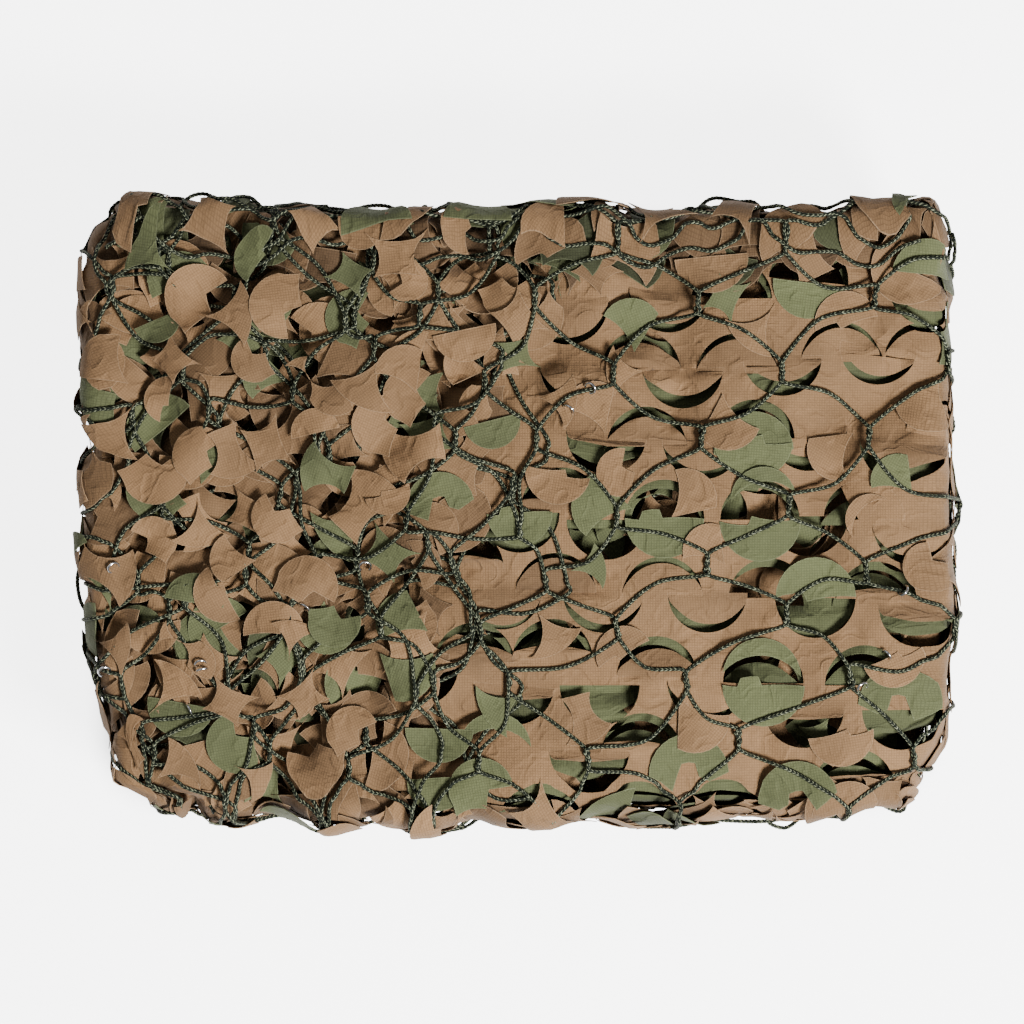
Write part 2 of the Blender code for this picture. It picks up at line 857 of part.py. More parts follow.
def add_strand(bm, trees, route, lift):
    """A strand as a closed tube of few sides laid over the cloth."""
    points, ways = laid_points(trees, with_bends(route), lift)
    rings = []
    for index, (point, way) in enumerate(zip(points, ways)):
        before = points[max(0, index - 1)]
        after = points[min(len(points) - 1, index + 1)]
        run = (after - before).normalized()
        side = run.cross(way).normalized()
        up = side.cross(run)
        ring = []
        for corner in range(CORD_SIDES):
            angle = 2 * math.pi * corner / CORD_SIDES + math.pi / 2
            ring.append(bm.verts.new(point + (side * math.cos(angle) + up * math.sin(angle)) * CORD))
        rings.append(ring)
    for ring, following in zip(rings, rings[1:]):
        for corner in range(CORD_SIDES):
            after = (corner + 1) % CORD_SIDES
            bm.faces.new((ring[corner], following[corner], following[after], ring[after]))
    bm.faces.new(rings[0])
    bm.faces.new(list(reversed(rings[-1])))
    return points, ways


def main_cloth(strands):
    """Both cloths with their cuts and leaves."""
    sheet = sheet_rows()
    brown = ply("brown_ply", sheet, 1, material("brown ripstop", (0.27, 0.155, 0.085), 0.85))
    green = ply("green_ply", sheet, -1, material("green ripstop", (0.085, 0.115, 0.05), 0.85))
    brown_top, green_top = surface(brown, green)
    brown_cuts = []
    green_cuts = []
    brown_leaves = []
    green_leaves = []
    turned_out = [(x * MM, y * MM, way) for x, y, way in GREEN_LEAVES]
    turned_out += [(x, y, way + 180) for kind, x, y, way in die_cells() if kind == "g"]
    for x, y, way in turned_out:
        slope = SLOPES["green"][under_cord(strands, x, y)]
        add_cut(brown_cuts, [brown_top], x, y, way + 180)
        add_leaf(green_leaves, [brown_top], x, y, way, green_rows(slope), GREEN_CLEAR)
    standing = []
    for x, y, way, free_slope, form in BROWN_LEAVES:
        low = under_cord(strands, x * MM, y * MM)
        slope = SLOPES["standing"][1] if low else free_slope
        standing.append((x * MM, y * MM, way, turned_rows(slope, form)))
    for kind, x, y, way in die_cells():
        low = under_cord(strands, x, y)
        if kind in "fr":
            add_cut(brown_cuts, [brown_top], x, y, way)
        if kind == "f" or kind == "r" and not low:
            add_cut(green_cuts, [green_top], x, y - GREEN_SLIP, way)
        if kind == "r":
            standing.append((x, y, way, lifted_rows(SLOPES["lifted"][low])))
        if kind == "f":
            standing.append((x, y, way + 180, turned_rows(SLOPES["turned back"][low], "half")))
    greens = [(x, y) for x, y, _ in turned_out]
    for x, y, way, rows in standing:
        if leaf_is_clear(x, y, way, rows, greens):
            add_leaf(brown_leaves, [brown_top], x, y, way, rows, BROWN_CLEAR)
    for layer, along, side, cloth, droop in SIDE_LEAVES:
        add_side_leaf(brown_leaves if cloth > 0 else green_leaves, layer, along, side, cloth, droop)
    for station, side, half_width in HANGING_LEAVES:
        add_hanging_leaf(brown_leaves, station, side, half_width)
    for made, cuts, leaves in ((brown, brown_cuts, brown_leaves), (green, green_cuts, green_leaves)):
        apply_rounds(made, cuts, "cuts", "DIFFERENCE")
        apply_rounds(made, leaves, "leaves", "UNION")
    return brown, green


def main_net(strands, trees):
    finish = material("dark cord", (0.012, 0.018, 0.012), 0.8)
    groups = (bmesh.new(), bmesh.new())
    laid = []
    for index, strand in enumerate(strands):
        laid.append(add_strand(groups[index % 2], trees, strand, ODD_LIFT * (index % 2)))
    net = add_object("cord_net", groups[0], finish)
    add_boolean(net, add_helper("cord_net_odd_strands", groups[1]), "UNION")
    return laid


def add_clip(name, laid, x, y, finish):
    """A wire ring closed over the cord at the place nearest to a given one."""
    best = None
    for points, ways in laid:
        for before, after, way in zip(points, points[1:], ways):
            bar = after - before
            share = (Vector((x, y, before.z)) - before).dot(bar) / bar.length_squared
            middle = before + bar * max(CLIP_KEEP, min(1 - CLIP_KEEP, share))
            apart = math.hypot(middle.x - x, middle.y - y)
            if bar.length > LONG_BAR and (best is None or apart < best[0]):
                best = (apart, middle, bar.normalized(), way)
    _, middle, run, way = best
    side = run.cross(way).normalized()
    up = side.cross(run)
    bm = bmesh.new()
    rings = []
    for step in range(CLIP_STEPS + 1):
        angle = math.radians(CLIP_FROM + (CLIP_TO - CLIP_FROM) * step / CLIP_STEPS)
        out = side * math.cos(angle) + up * math.sin(angle)
        ring = []
        for corner in range(CLIP_SIDES):
            spin = 2 * math.pi * corner / CLIP_SIDES
            offset = out * math.cos(spin) + run * math.sin(spin)
            ring.append(bm.verts.new(middle + out * CLIP_RADIUS + offset * CLIP_WIRE))
        rings.append(ring)
    for ring, following in zip(rings, rings[1:]):
        for corner in range(CLIP_SIDES):
            after = (corner + 1) % CLIP_SIDES
            bm.faces.new((ring[corner], following[corner], following[after], ring[after]))
    bm.faces.new(rings[0])
    bm.faces.new(list(reversed(rings[-1])))
    bmesh.ops.recalc_face_normals(bm, faces=bm.faces[:])
    return add_object(name, bm, finish)


def main():
    for made in list(bpy.data.objects):
        bpy.data.objects.remove(made)
    strands = net_strands()
    brown, green = main_cloth(strands)
    laid = main_net(strands, surface(brown, green))
    chrome = material("bright wire", (0.8, 0.8, 0.8), 0.2, 1.0)
    for number, (x, y) in enumerate(CLIPS, 1):
        add_clip(f"clip_{number:02}", laid, x * MM, y * MM, chrome)


main()
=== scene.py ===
"""The looks of a folded camouflage net that lies on its back.

Metres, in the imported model's own frame: X along the bundle, Y across it, Z up out of the face
that carries the cord net. The script runs from top to bottom, in the order in which the bundle
is filled: the folded layers, the lower leaves, a first crossing of cords, the die-cut cloths,
the sides, the upper leaves with the rest of the cords, and the rings.
"""

import math
import random

import bmesh
import bpy
import numpy as np
from mathutils import Matrix, Vector, noise
from mathutils.bvhtree import BVHTree
from mathutils.geometry import delaunay_2d_cdt


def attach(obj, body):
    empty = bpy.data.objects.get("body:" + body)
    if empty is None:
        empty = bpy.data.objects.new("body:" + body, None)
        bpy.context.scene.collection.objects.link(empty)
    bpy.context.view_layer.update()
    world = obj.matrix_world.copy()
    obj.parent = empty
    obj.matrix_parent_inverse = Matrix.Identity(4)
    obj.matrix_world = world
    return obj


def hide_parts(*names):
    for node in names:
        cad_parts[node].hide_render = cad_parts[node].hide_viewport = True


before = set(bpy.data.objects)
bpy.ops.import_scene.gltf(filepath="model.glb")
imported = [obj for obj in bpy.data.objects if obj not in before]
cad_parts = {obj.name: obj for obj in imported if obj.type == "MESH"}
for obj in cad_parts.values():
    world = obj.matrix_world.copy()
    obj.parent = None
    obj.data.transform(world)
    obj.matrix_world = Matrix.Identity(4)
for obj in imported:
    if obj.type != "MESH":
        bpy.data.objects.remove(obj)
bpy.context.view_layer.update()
MM = 0.001

# ---------------------------------------------------------------- the folded layers
# Two long cloths of light ripstop, brown over green, are folded back and forth into a soft
# bundle. Their borders and turns show between the leaves of the sides, and the lowest layer
# lies on the surface.
LENGTH = 509 * MM
WIDTH = 357 * MM
# How far the bundle's ends and sides stand in from a plain rectangle.
# Columns: y, left end in, right end in (mm).
END_INSETS = (
    (-178, 75, 36), (-160, 46, 36), (-136, 38, 15), (-89, 29, 14), (-18, 18, 7),
    (54, 15, 8), (125, 16, 8), (153, 20, 22), (178, 34, 34),
)
# Columns: x, near side in, far side in (mm).
SIDE_INSETS = (
    (-254, 24, 14), (-204, 22, 4), (-127, 13, 8), (-25, 22, 16), (51, 18, 15), (153, 17, 13),
    (204, 29, 10), (254, 30, 10),
)
LAYERS = 8
LAYER_PITCH = 15.4 * MM
LOWEST = 2.2 * MM
FLOOR_GAP = 0.6 * MM
LAYER_INSET = 11 * MM
LAYER_STEP = 20 * MM
TURN_STEPS = 7
EDGE_WANDER = 5 * MM
LAYER_WAVE = 3 * MM
LOWEST_WAVE_SHARE = 0.3
GREEN_DROP = 1.5 * MM
GREEN_INSET = 1.5 * MM
LAYER_TONE = 0.3
CLOTH = 0.45 * MM
CREASE_ANGLE = math.radians(38)
# A piece that covers less of its cut's extent than this is made of loose leaves.
WHOLE_SHARE = 0.5
RIPSTOP_PITCH = 1.5 * MM
RELIEF = 1.5 * MM


class Cloth:
    """A piece of cloth in the making: leaves and sheets that are joined into one mesh."""

    def __init__(self):
        self.places = []
        self.faces = []
        self.flat = []
        self.fringe = []
        self.tone = []
        self.count = 0

    def add(self, places, faces, flat, fringe, tone):
        """Adds some cloth, with its flat cut and with its fringe and its tone, which carries painted shade
        too, at each place.
        """
        self.places.append(places)
        self.faces.append(faces + self.count)
        self.flat.append(flat)
        self.fringe.append(fringe)
        self.tone.append(np.full(len(places), tone))
        self.count += len(places)

    def finish(self, name, finish, slot, node=None):
        """Makes the piece, with its flat cut as its UV map and the cut edges marked."""
        places, faces, flat = map(np.concatenate, (self.places, self.faces, self.flat))
        mesh = bpy.data.meshes.new(name)
        mesh.from_pydata(places.tolist(), [], faces.tolist())
        mesh.materials.append(finish)
        cut_map = mesh.uv_layers.new(name="cut")
        cut_map.data.foreach_set("uv", flat[faces.ravel()].astype(np.float32).ravel())
        for kind, values in (("fringe", self.fringe), ("tone", self.tone)):
            layer = mesh.attributes.new(kind, "FLOAT", "POINT")
            layer.data.foreach_set("value", np.concatenate(values).astype(np.float32))
        mesh.shade_smooth()
        mesh.set_sharp_from_angle(angle=CREASE_ANGLE)
        bm = bmesh.new()
        bm.from_mesh(mesh)
        for edge in bm.edges:
            if edge.is_boundary:
                edge.smooth = False
        bm.to_mesh(mesh)
        bm.free()
        piece = bpy.data.objects.new(name, mesh)
        bpy.context.scene.collection.objects.link(piece)
        thicken = piece.modifiers.new("cloth", "SOLIDIFY")
        thicken.thickness = CLOTH
        thicken.offset = 0
        # A whole cloth has its own cut size; loose leaves count as the length of cloth they take.
        sides = flat[faces][:, 1:] - flat[faces][:, :1]
        area = abs(np.cross(sides[:, 0], sides[:, 1])).sum() / 2
        cut = np.ptp(flat, axis=0)
        if area < WHOLE_SHARE * cut.prod():
            cut = (WIDTH, math.ceil(area / WIDTH * 100) / 100)
        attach(piece, "root")
        if node:
            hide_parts(node)


class Shading:
    """The nodes of a finish in the making, with a short call for each kind that repeats."""

    def __init__(self, tree):
        self.new = tree.nodes.new
        self.link = tree.links.new

    def put(self, socket, value):
        """Sets a socket to a number or a colour, or links it to a node's output."""
        if isinstance(value, (int, float)):
            socket.default_value = value
        elif isinstance(value, tuple):
            socket.default_value = (*value, 1)
        else:
            self.link(value, socket)

    def maths(self, kind, *values):
        node = self.new("ShaderNodeMath")
        node.operation = kind
        for socket, value in zip(node.inputs, values):
            self.put(socket, value)
        return node.outputs[0]

    def fade(self, value, low, high, to_low, to_high, ease="LINEAR"):
        """A value that runs from to_low to to_high while another runs from low to high."""
        node = self.new("ShaderNodeMapRange")
        node.interpolation_type = ease
        for name, number in (("From Min", low), ("From Max", high), ("To Min", to_low), ("To Max", to_high)):
            node.inputs[name].default_value = number
        self.link(value, node.inputs["Value"])
        return node.outputs["Result"]

    def mixed(self, kind, share, first, second):
        node = self.new("ShaderNodeMix")
        node.data_type = "RGBA"
        node.blend_type = kind
        for name, value in (("Factor", share), ("A", first), ("B", second)):
            self.put(node.inputs[name], value)
        return node.outputs["Result"]

    def grain(self, place, scale, detail, distortion=0.0):
        node = self.new("ShaderNodeTexNoise")
        node.inputs["Scale"].default_value = scale
        node.inputs["Detail"].default_value = detail
        node.inputs["Distortion"].default_value = distortion
        self.link(place, node.inputs["Vector"])
        return node.outputs["Fac"]

    def attribute(self, name):
        node = self.new("ShaderNodeAttribute")
        node.attribute_name = name
        return node.outputs

    def split(self, place):
        node = self.new("ShaderNodeSeparateXYZ")
        self.link(place, node.inputs[0])
        return node.outputs


def ripstop_group():
    """A shader group for ripstop: weave, creases, tone and painted shade from leaf to leaf and a pale fringe.
    """
    group = bpy.data.node_groups.new("ripstop", "ShaderNodeTree")
    for name in ("Cloth", "Thread", "Fringe"):
        group.interface.new_socket(name, in_out="INPUT", socket_type="NodeSocketColor")
    group.interface.new_socket("Color", in_out="OUTPUT", socket_type="NodeSocketColor")
    group.interface.new_socket("Normal", in_out="OUTPUT", socket_type="NodeSocketVector")
    shading = Shading(group)
    maths, fade, mixed = shading.maths, shading.fade, shading.mixed
    inputs, outputs = shading.new("NodeGroupInput"), shading.new("NodeGroupOutput")
    cut = shading.new("ShaderNodeUVMap")
    cut.uv_map = "cut"
    cut = cut.outputs["UV"]

    # A heavier thread every RIPSTOP_PITCH, both ways.
    threads = []
    for across in shading.split(cut)[:2]:
        phase = maths("FRACT", maths("MULTIPLY", across, 1 / RIPSTOP_PITCH))
        threads.append(fade(maths("ABSOLUTE", maths("SUBTRACT", phase, 0.5)), 0.0, 0.2, 1.0, 0.0))
    thread = maths("MAXIMUM", *threads)
    weave = shading.grain(cut, scale=900, detail=2)
    creases = shading.grain(cut, scale=75, detail=1, distortion=0.6)
    patches = shading.grain(cut, scale=26, detail=2)

    # How light the cloth is: leaf by leaf, by a tone that also carries painted shade, in faded patches and
    # from thread to thread.
    value = fade(shading.attribute("tone")["Fac"], -1, 1, 0.34, 1.14)
    value = maths("MULTIPLY", value, fade(patches, 0.3, 0.7, 0.80, 1.13))
    value = maths("MULTIPLY", value, fade(weave, 0.3, 0.7, 0.90, 1.10))
    grey = shading.new("ShaderNodeCombineColor")
    for socket in grey.inputs:
        shading.link(value, socket)
    colour = mixed("MIX", maths("MULTIPLY", thread, 0.58), inputs.outputs["Cloth"], inputs.outputs["Thread"])
    colour = mixed("MULTIPLY", 1.0, colour, grey.outputs[0])
    frayed = maths("ADD", shading.attribute("fringe")["Fac"], maths("MULTIPLY", weave, 0.3))
    colour = mixed("MIX", fade(frayed, 0.35, 0.75, 0.0, 0.45), colour, inputs.outputs["Fringe"])
    shading.link(colour, outputs.inputs["Color"])

    # The relief in shares of RELIEF: threads, weave, soft dents, and folds where two dents meet.
    fold = maths("MINIMUM", maths("ABSOLUTE", maths("SUBTRACT", creases, 0.5)), 0.1)
    height = maths("MULTIPLY", thread, 0.10)
    for pattern, share in ((weave, 0.12), (creases, 1.3), (fold, -3.2)):
        height = maths("ADD", height, maths("MULTIPLY", pattern, share))
    bump = shading.new("ShaderNodeBump")
    bump.inputs["Strength"].default_value = 0.85
    bump.inputs["Distance"].default_value = RELIEF
    shading.link(height, bump.inputs["Height"])
    shading.link(bump.outputs["Normal"], outputs.inputs["Normal"])
    return group


RIPSTOP = ripstop_group()


def ripstop_finish(name, cloth, thread, fringe):
    """A matt cloth material with ripstop weave in its own colours."""
    made = bpy.data.materials.new(name)
    made.use_nodes = True
    nodes, link = made.node_tree.nodes, made.node_tree.links.new
    shader = nodes["Principled BSDF"]
    shader.inputs["Roughness"].default_value = 0.78
    shader.inputs["Specular IOR Level"].default_value = 0.25
    shader.inputs["Sheen Weight"].default_value = 0.06
    shader.inputs["Sheen Roughness"].default_value = 0.5
    group = nodes.new("ShaderNodeGroup")
    group.node_tree = RIPSTOP
    for socket, colour in (("Cloth", cloth), ("Thread", thread), ("Fringe", fringe)):
        group.inputs[socket].default_value = (*colour, 1)
    link(group.outputs["Color"], shader.inputs["Base Color"])
    link(group.outputs["Normal"], shader.inputs["Normal"])
    return made


BROWN = ripstop_finish(
    "brown ripstop", cloth=(0.262, 0.151, 0.071), thread=(0.150, 0.082, 0.037), fringe=(0.44, 0.30, 0.18),
)
GREEN = ripstop_finish(
    "green ripstop", cloth=(0.113, 0.125, 0.054), thread=(0.061, 0.067, 0.029), fringe=(0.22, 0.24, 0.13),
)


def inset_share(table, along, across, length):
    """How much shorter the bundle is at one place, by an inset table."""
    at, low, high = zip(*table)
    inset = np.interp(across / MM, at, low if along < 0 else high)
    return 1 - inset * MM / (length / 2)


def folding_walk(drop):
    """The x and z of a cloth that runs back and forth, from the top layer down."""
    radius = LAYER_PITCH / 2
    half = LENGTH / 2 - LAYER_INSET - radius
    count = int(2 * half / LAYER_STEP)
    walk = []
    for layer in range(LAYERS):
        is_lowest = layer == LAYERS - 1
        z = LOWEST + LAYER_PITCH * (LAYERS - 1 - layer) - (0 if is_lowest else drop)
        way = 1 if layer % 2 else -1
        walk += [(-way * half + 2 * way * half * step / count, z) for step in range(count + 1)]
        if not is_lowest:
            for step in range(1, TURN_STEPS):
                angle = math.pi * step / TURN_STEPS
                walk.append((way * (half + radius * math.sin(angle)), z - radius * (1 - math.cos(angle))))
    return np.array(walk)


def folded_cloth(cloth, drop, inset, seed):
    """One long cloth folded back and forth, with soft waves and a wandering edge."""
    walk = folding_walk(drop)
    runs = np.concatenate(((0,), np.cumsum(np.hypot(*np.diff(walk, axis=0).T))))
    rows = int(WIDTH / LAYER_STEP)
    shares = np.linspace(-1, 1, rows)
    places, flat = [], []
    for (x, z), run in zip(walk, runs):
        edge = WIDTH / 2 - LAYER_INSET - inset + EDGE_WANDER * noise.noise(Vector((run * 14, seed, 0)))
        for share in shares:
            y = share * edge
            lift = LAYER_WAVE * noise.noise(Vector((x * 14, y * 14, z * 40 + seed)))
            lift += LAYER_WAVE * abs(share) ** 6 * noise.noise(Vector((run * 30, y * 9, seed)))
            if z < 2 * LOWEST:
                lift = LOWEST_WAVE_SHARE * abs(lift)
            drawn_x = x * inset_share(END_INSETS, x, y, LENGTH)
            drawn_y = y * inset_share(SIDE_INSETS, y, x, WIDTH)
            places.append((drawn_x, drawn_y, max(FLOOR_GAP, z + lift)))
            flat.append((y, run))
    first = (np.arange(len(walk) - 1)[:, None] * rows + np.arange(rows - 1)[None]).ravel()
    halves = ((first, first + 1, first + rows), (first + 1, first + rows + 1, first + rows))
    faces = np.concatenate([np.column_stack(half) for half in halves])
    fringe = np.tile(np.abs(shares) == 1, len(walk)).astype(float)
    cloth.add(np.array(places), faces, np.array(flat), fringe, LAYER_TONE)


brown_layers, green_layers = Cloth(), Cloth()
folded_cloth(brown_layers, 0.0, 0.0, seed=3.3)
folded_cloth(green_layers, GREEN_DROP, GREEN_INSET, seed=7.7)
brown_layers.finish("brown_folded_layers", BROWN, "brown_ripstop", "brown_ply")
green_layers.finish("green_folded_layers", GREEN, "green_ripstop", "green_ply")

# ---------------------------------------------------------------- the lower leaves
# Scraps of both cloths, seen through the cuts of the upper cloth and between its leaves. They
# are cut by one half-circle die from the same ripstop, so all the loose shapes share its arcs.
# The net's lower crossing is laid over them.
ARC_STEP = 5.2 * MM
STRAIGHT_STEP = 1.4 * ARC_STEP
GRID_STEP = 7.5 * MM
FRINGE = 0.55 * MM
# An edge with less bow than this is straight.
LEAST_BOW = 0.01
# Corners of each leaf, in order round it. Columns: x, y (mm), bow of the edge to the next
# corner, as a share of half its chord; above 0 it bows outwards.
LEAF_FORMS = {
    "cap": ((-23.5, 0, 0), (23.5, 0, 1.0)),
    "comma": ((-21, -15, -0.12), (2, -13, -0.1), (6, 0, 0), (23.5, 0, 1.0), (-23.5, 0, -0.1)),
    "web": ((-25, -12, -0.22), (22, -15, -0.45), (19, 17, -0.15), (-17, 20, -0.5)),
    "horn": ((-20, -16, -0.3), (24, -12, -0.42), (4, 27, 0.3)),
    "anvil": ((-23, -20, 0.35), (24, -15, -0.45), (15, 20, 0), (-13, 23, -0.4)),
    "crescent": ((-23.5, 2, -0.5), (23.5, 2, 0.95)),
    "stepped": (
        (-23.5, 0.5, 0.05), (1, 0, 0), (3, -5, 0.1), (13, -4, 0), (15, 1, -0.05), (23.5, 0, 1.0),
    ),
    "torn": ((-23.5, 0, -0.1), (-7, 2, 0), (-5, -3, -0.1), (23.5, -1, 1.0)),
    "wave": ((-34, -8, 0.25), (-8, -12, -0.75), (28, -10, 0.2), (35, 10, -0.6), (-2, 14, 0.5)),
    "wedge": ((-4, -18, 0), (22, 2, 0.6), (-16, 14, -0.25)),
    "horseshoe": (
        (-23.5, -4, 0), (-10, -12, 0), (-4, 2, -0.2), (4, 2, 0), (6, -6, 0), (12, -9, 0), (23.5, -4, 1.0),
    ),
}


def arc(start, end, bow):
    """Points from start up to, but not with, end along an arc of that bow."""
    chord = end - start
    length = np.hypot(*chord)
    if abs(bow) < LEAST_BOW:
        count = max(1, round(length / STRAIGHT_STEP))
        return [start + chord * index / count for index in range(count)]
    sweep = 4 * math.atan(bow)
    radius = length / 2 / math.sin(sweep / 2)
    out = np.array((chord[1], -chord[0])) / length
    centre = (start + end) / 2 + out * (bow * length / 2 - radius)
    spoke = start - centre
    count = max(2, round(abs(radius * sweep) / ARC_STEP))
    return [centre + turned(spoke, math.degrees(sweep * index / count)) for index in range(count)]


def turned(points, degrees):
    turn = math.radians(degrees)
    cos, sin = math.cos(turn), math.sin(turn)
    return points @ np.array(((cos, sin), (-sin, cos)))


def loop_of(corners):
    """A closed loop of points from corners and bows."""
    places = [np.array(corner[:2]) * MM for corner in corners]
    points = []
    for index, corner in enumerate(corners):
        points += arc(places[index], places[(index + 1) % len(places)], corner[2])
    return np.array(points)


def drawn_in(loop, width):
    """The loop moved inwards by a width."""
    ahead = np.roll(loop, -1, axis=0) - loop
    inward = np.column_stack((-ahead[:, 1], ahead[:, 0])) / np.maximum(np.hypot(*ahead.T), 1e-9)[:, None]
    middle = inward + np.roll(inward, 1, axis=0)
    # At a sharp corner the point moves a little more than the width, and never much more.
    return loop + width * middle / np.maximum((middle**2).sum(1) / 2, 0.6)[:, None]


def is_inside(places, loop):
    """Whether places lie inside a closed loop."""
    inside = np.zeros(len(places), bool)
    for (x0, y0), (x1, y1) in zip(loop, np.roll(loop, -1, axis=0)):
        crosses = (y0 > places[:, 1]) != (y1 > places[:, 1])
        if y0 != y1:
            at = x0 + (places[:, 1] - y0) * (x1 - x0) / (y1 - y0)
            inside ^= crosses & (places[:, 0] < at)
    return inside


def grid_inside(loop, step, keep):
    """A grid of staggered points inside a loop, kept off some other points."""
    low, high = loop.min(0), loop.max(0)
    points = []
    for row, y in enumerate(np.arange(low[1] + step / 2, high[1], step * 0.87)):
        for x in np.arange(low[0] + step * (0.3 + 0.5 * (row % 2)), high[0], step):
            points.append((x, y))
    points = np.array(points).reshape(-1, 2)
    points = points[is_inside(points, loop)]
    near = np.hypot(*(points[:, None] - keep[None]).transpose(2, 0, 1)).min(1)
    return points[near > step / 2]


def triangles_inside(loop, points, edges, gap):
    """Triangles between points, with those edges kept; also the points and what each came from."""
    made = delaunay_2d_cdt([Vector(point) for point in points], edges, [], 0, gap)
    places = np.array([tuple(point) for point in made[0]])
    faces = np.array([face for face in made[2] if len(face) == 3])
    return places, faces[is_inside(places[faces].mean(1), loop)], made[3]


def cut_leaf(corners):
    """A leaf's flat mesh: its points, faces and how near each point is to the cut edge."""
    loop = loop_of(corners)
    ring = drawn_in(loop, FRINGE)
    count = len(loop)
    chain = [(index, (index + 1) % count) for index in range(count)]
    edges = chain + [(first + count, second + count) for first, second in chain]
    points = (*loop, *ring, *grid_inside(ring, GRID_STEP, ring))
    places, faces, sources = triangles_inside(loop, points, edges, 1e-7)
    fringe = np.array([float(any(source < count for source in each)) for each in sources])
    used, faces = np.unique(faces, return_inverse=True)
    return {"loop": loop, "places": places[used], "faces": faces.reshape(-1, 3), "fringe": fringe[used]}


LEAVES = {name: cut_leaf(corners) for name, corners in LEAF_FORMS.items()}

# Everything loose is laid by flat places: the block's face and sides unrolled into one plane.
# A pile of heights over that plane keeps count of what has been laid, so that each leaf and
# cord rests on the last.
FACE = 111.7 * MM
BORDER = 22 * MM
BEND = BORDER * math.pi / 2
CORE = np.array((LENGTH / 2 - BORDER, WIDTH / 2 - BORDER))
SIDE_DEPTH = FACE - BORDER
CELL = 2.5 * MM
SPREAD = CORE + BEND + SIDE_DEPTH
CELLS = np.ceil(2 * SPREAD / CELL).astype(int) + 1
ALL_CELLS = ((0, CELLS[1]), (0, CELLS[0]))
LOOK_FROM = 90 * MM
# How many cells the solids' heights are spread and softened by.
FORM_SPREAD, FORM_SOFTNESS = 2, 4
DEEPEST = -34 * MM
FACE_PILE = 25 * MM
SIDE_DEEPEST = -9 * MM
SIDE_FADE = 12 * MM
# The face falls away along the far side: from where, over what width and how far.
FAR_SLOPE_FROM = 132 * MM
FAR_SLOPE_WIDTH = 45 * MM
FAR_SLOPE_DROP = 20 * MM
# The share of what stands past the bundle's outline, or above its top, that is pressed back.
HELD_IN = 0.65
HELD_DOWN = 0.6
TOP_HELD = 131 * MM
# How much of a leaf clears the pile (percent), and by how much.
NEARLY_ALL = 99.6
LEAF_CLEAR = 0.5 * MM


def directions(flat):
    """For flat places: the block's inner point, the way out of it, and how far down the side."""
    core = np.clip(flat, -CORE, CORE)
    beyond = flat - core
    far = np.hypot(beyond[:, 0], beyond[:, 1])
    angle = np.minimum(far / BEND, 1) * math.pi / 2
    plan = beyond / np.maximum(far, 1e-9)[:, None]
    ways = np.column_stack((plan * np.sin(angle)[:, None], np.cos(angle)))
    down = np.maximum(0, far - BEND)
    return np.column_stack((core, FACE - BORDER - down)), ways, down


def stand(flat, rise):
    """Places in the row frame of flat places lifted off the block's face by rise."""
    inner, ways, _ = directions(flat)
    places = inner + ways * (BORDER + rise)[:, None]
    places[:, 2] = np.maximum(places[:, 2], FLOOR_GAP)
    places[:, 2] -= HELD_DOWN * np.maximum(0, places[:, 2] - TOP_HELD)
    for axis, half, table in ((0, LENGTH / 2, END_INSETS), (1, WIDTH / 2, SIDE_INSETS)):
        at, low, high = np.array(table).T * MM
        across = places[:, 1 - axis]
        places[:, axis] -= HELD_IN * np.maximum(0, places[:, axis] - half + np.interp(across, at, high))
        places[:, axis] += HELD_IN * np.maximum(0, np.interp(across, at, low) - half - places[:, axis])
    return places


def shifted(field):
    """A field's nine shifts, by a cell each way."""
    wide = np.pad(field, 1, mode="edge")
    rows, columns = field.shape
    return [wide[row : row + rows, column : column + columns] for row in range(3) for column in range(3)]


def widest(field, times):
    """Each cell raised to the highest of its neighbours, some times over."""
    for _ in range(times):
        field = np.max(shifted(field), axis=0)
    return field


def softened(field, times):
    """Each cell drawn to the mean of its neighbours, some times over."""
    for _ in range(times):
        field = np.mean(shifted(field), axis=0)
    return field


def cell_places(rows, columns):
    """The flat places of a range of cells, row by row."""
    x, y = np.meshgrid(np.arange(*columns) * CELL - SPREAD[0], np.arange(*rows) * CELL - SPREAD[1])
    return np.column_stack((x.ravel(), y.ravel()))


def solids_rise():
    """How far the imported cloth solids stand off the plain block, over all flat places."""
    bm = bmesh.new()
    bm.from_mesh(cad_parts["brown_ply"].data)
    tree = BVHTree.FromBMesh(bm)
    bm.free()
    inner, ways, _ = directions(cell_places(*ALL_CELLS))
    starts = inner + ways * (BORDER + LOOK_FROM)
    rise = np.full(len(starts), DEEPEST)
    for index, (start, way) in enumerate(zip(starts, ways)):
        hit = tree.ray_cast(Vector(start), Vector(-way))
        if hit[0]:
            rise[index] = max(DEEPEST, LOOK_FROM - hit[3])
    return rise.reshape(CELLS[1], CELLS[0])


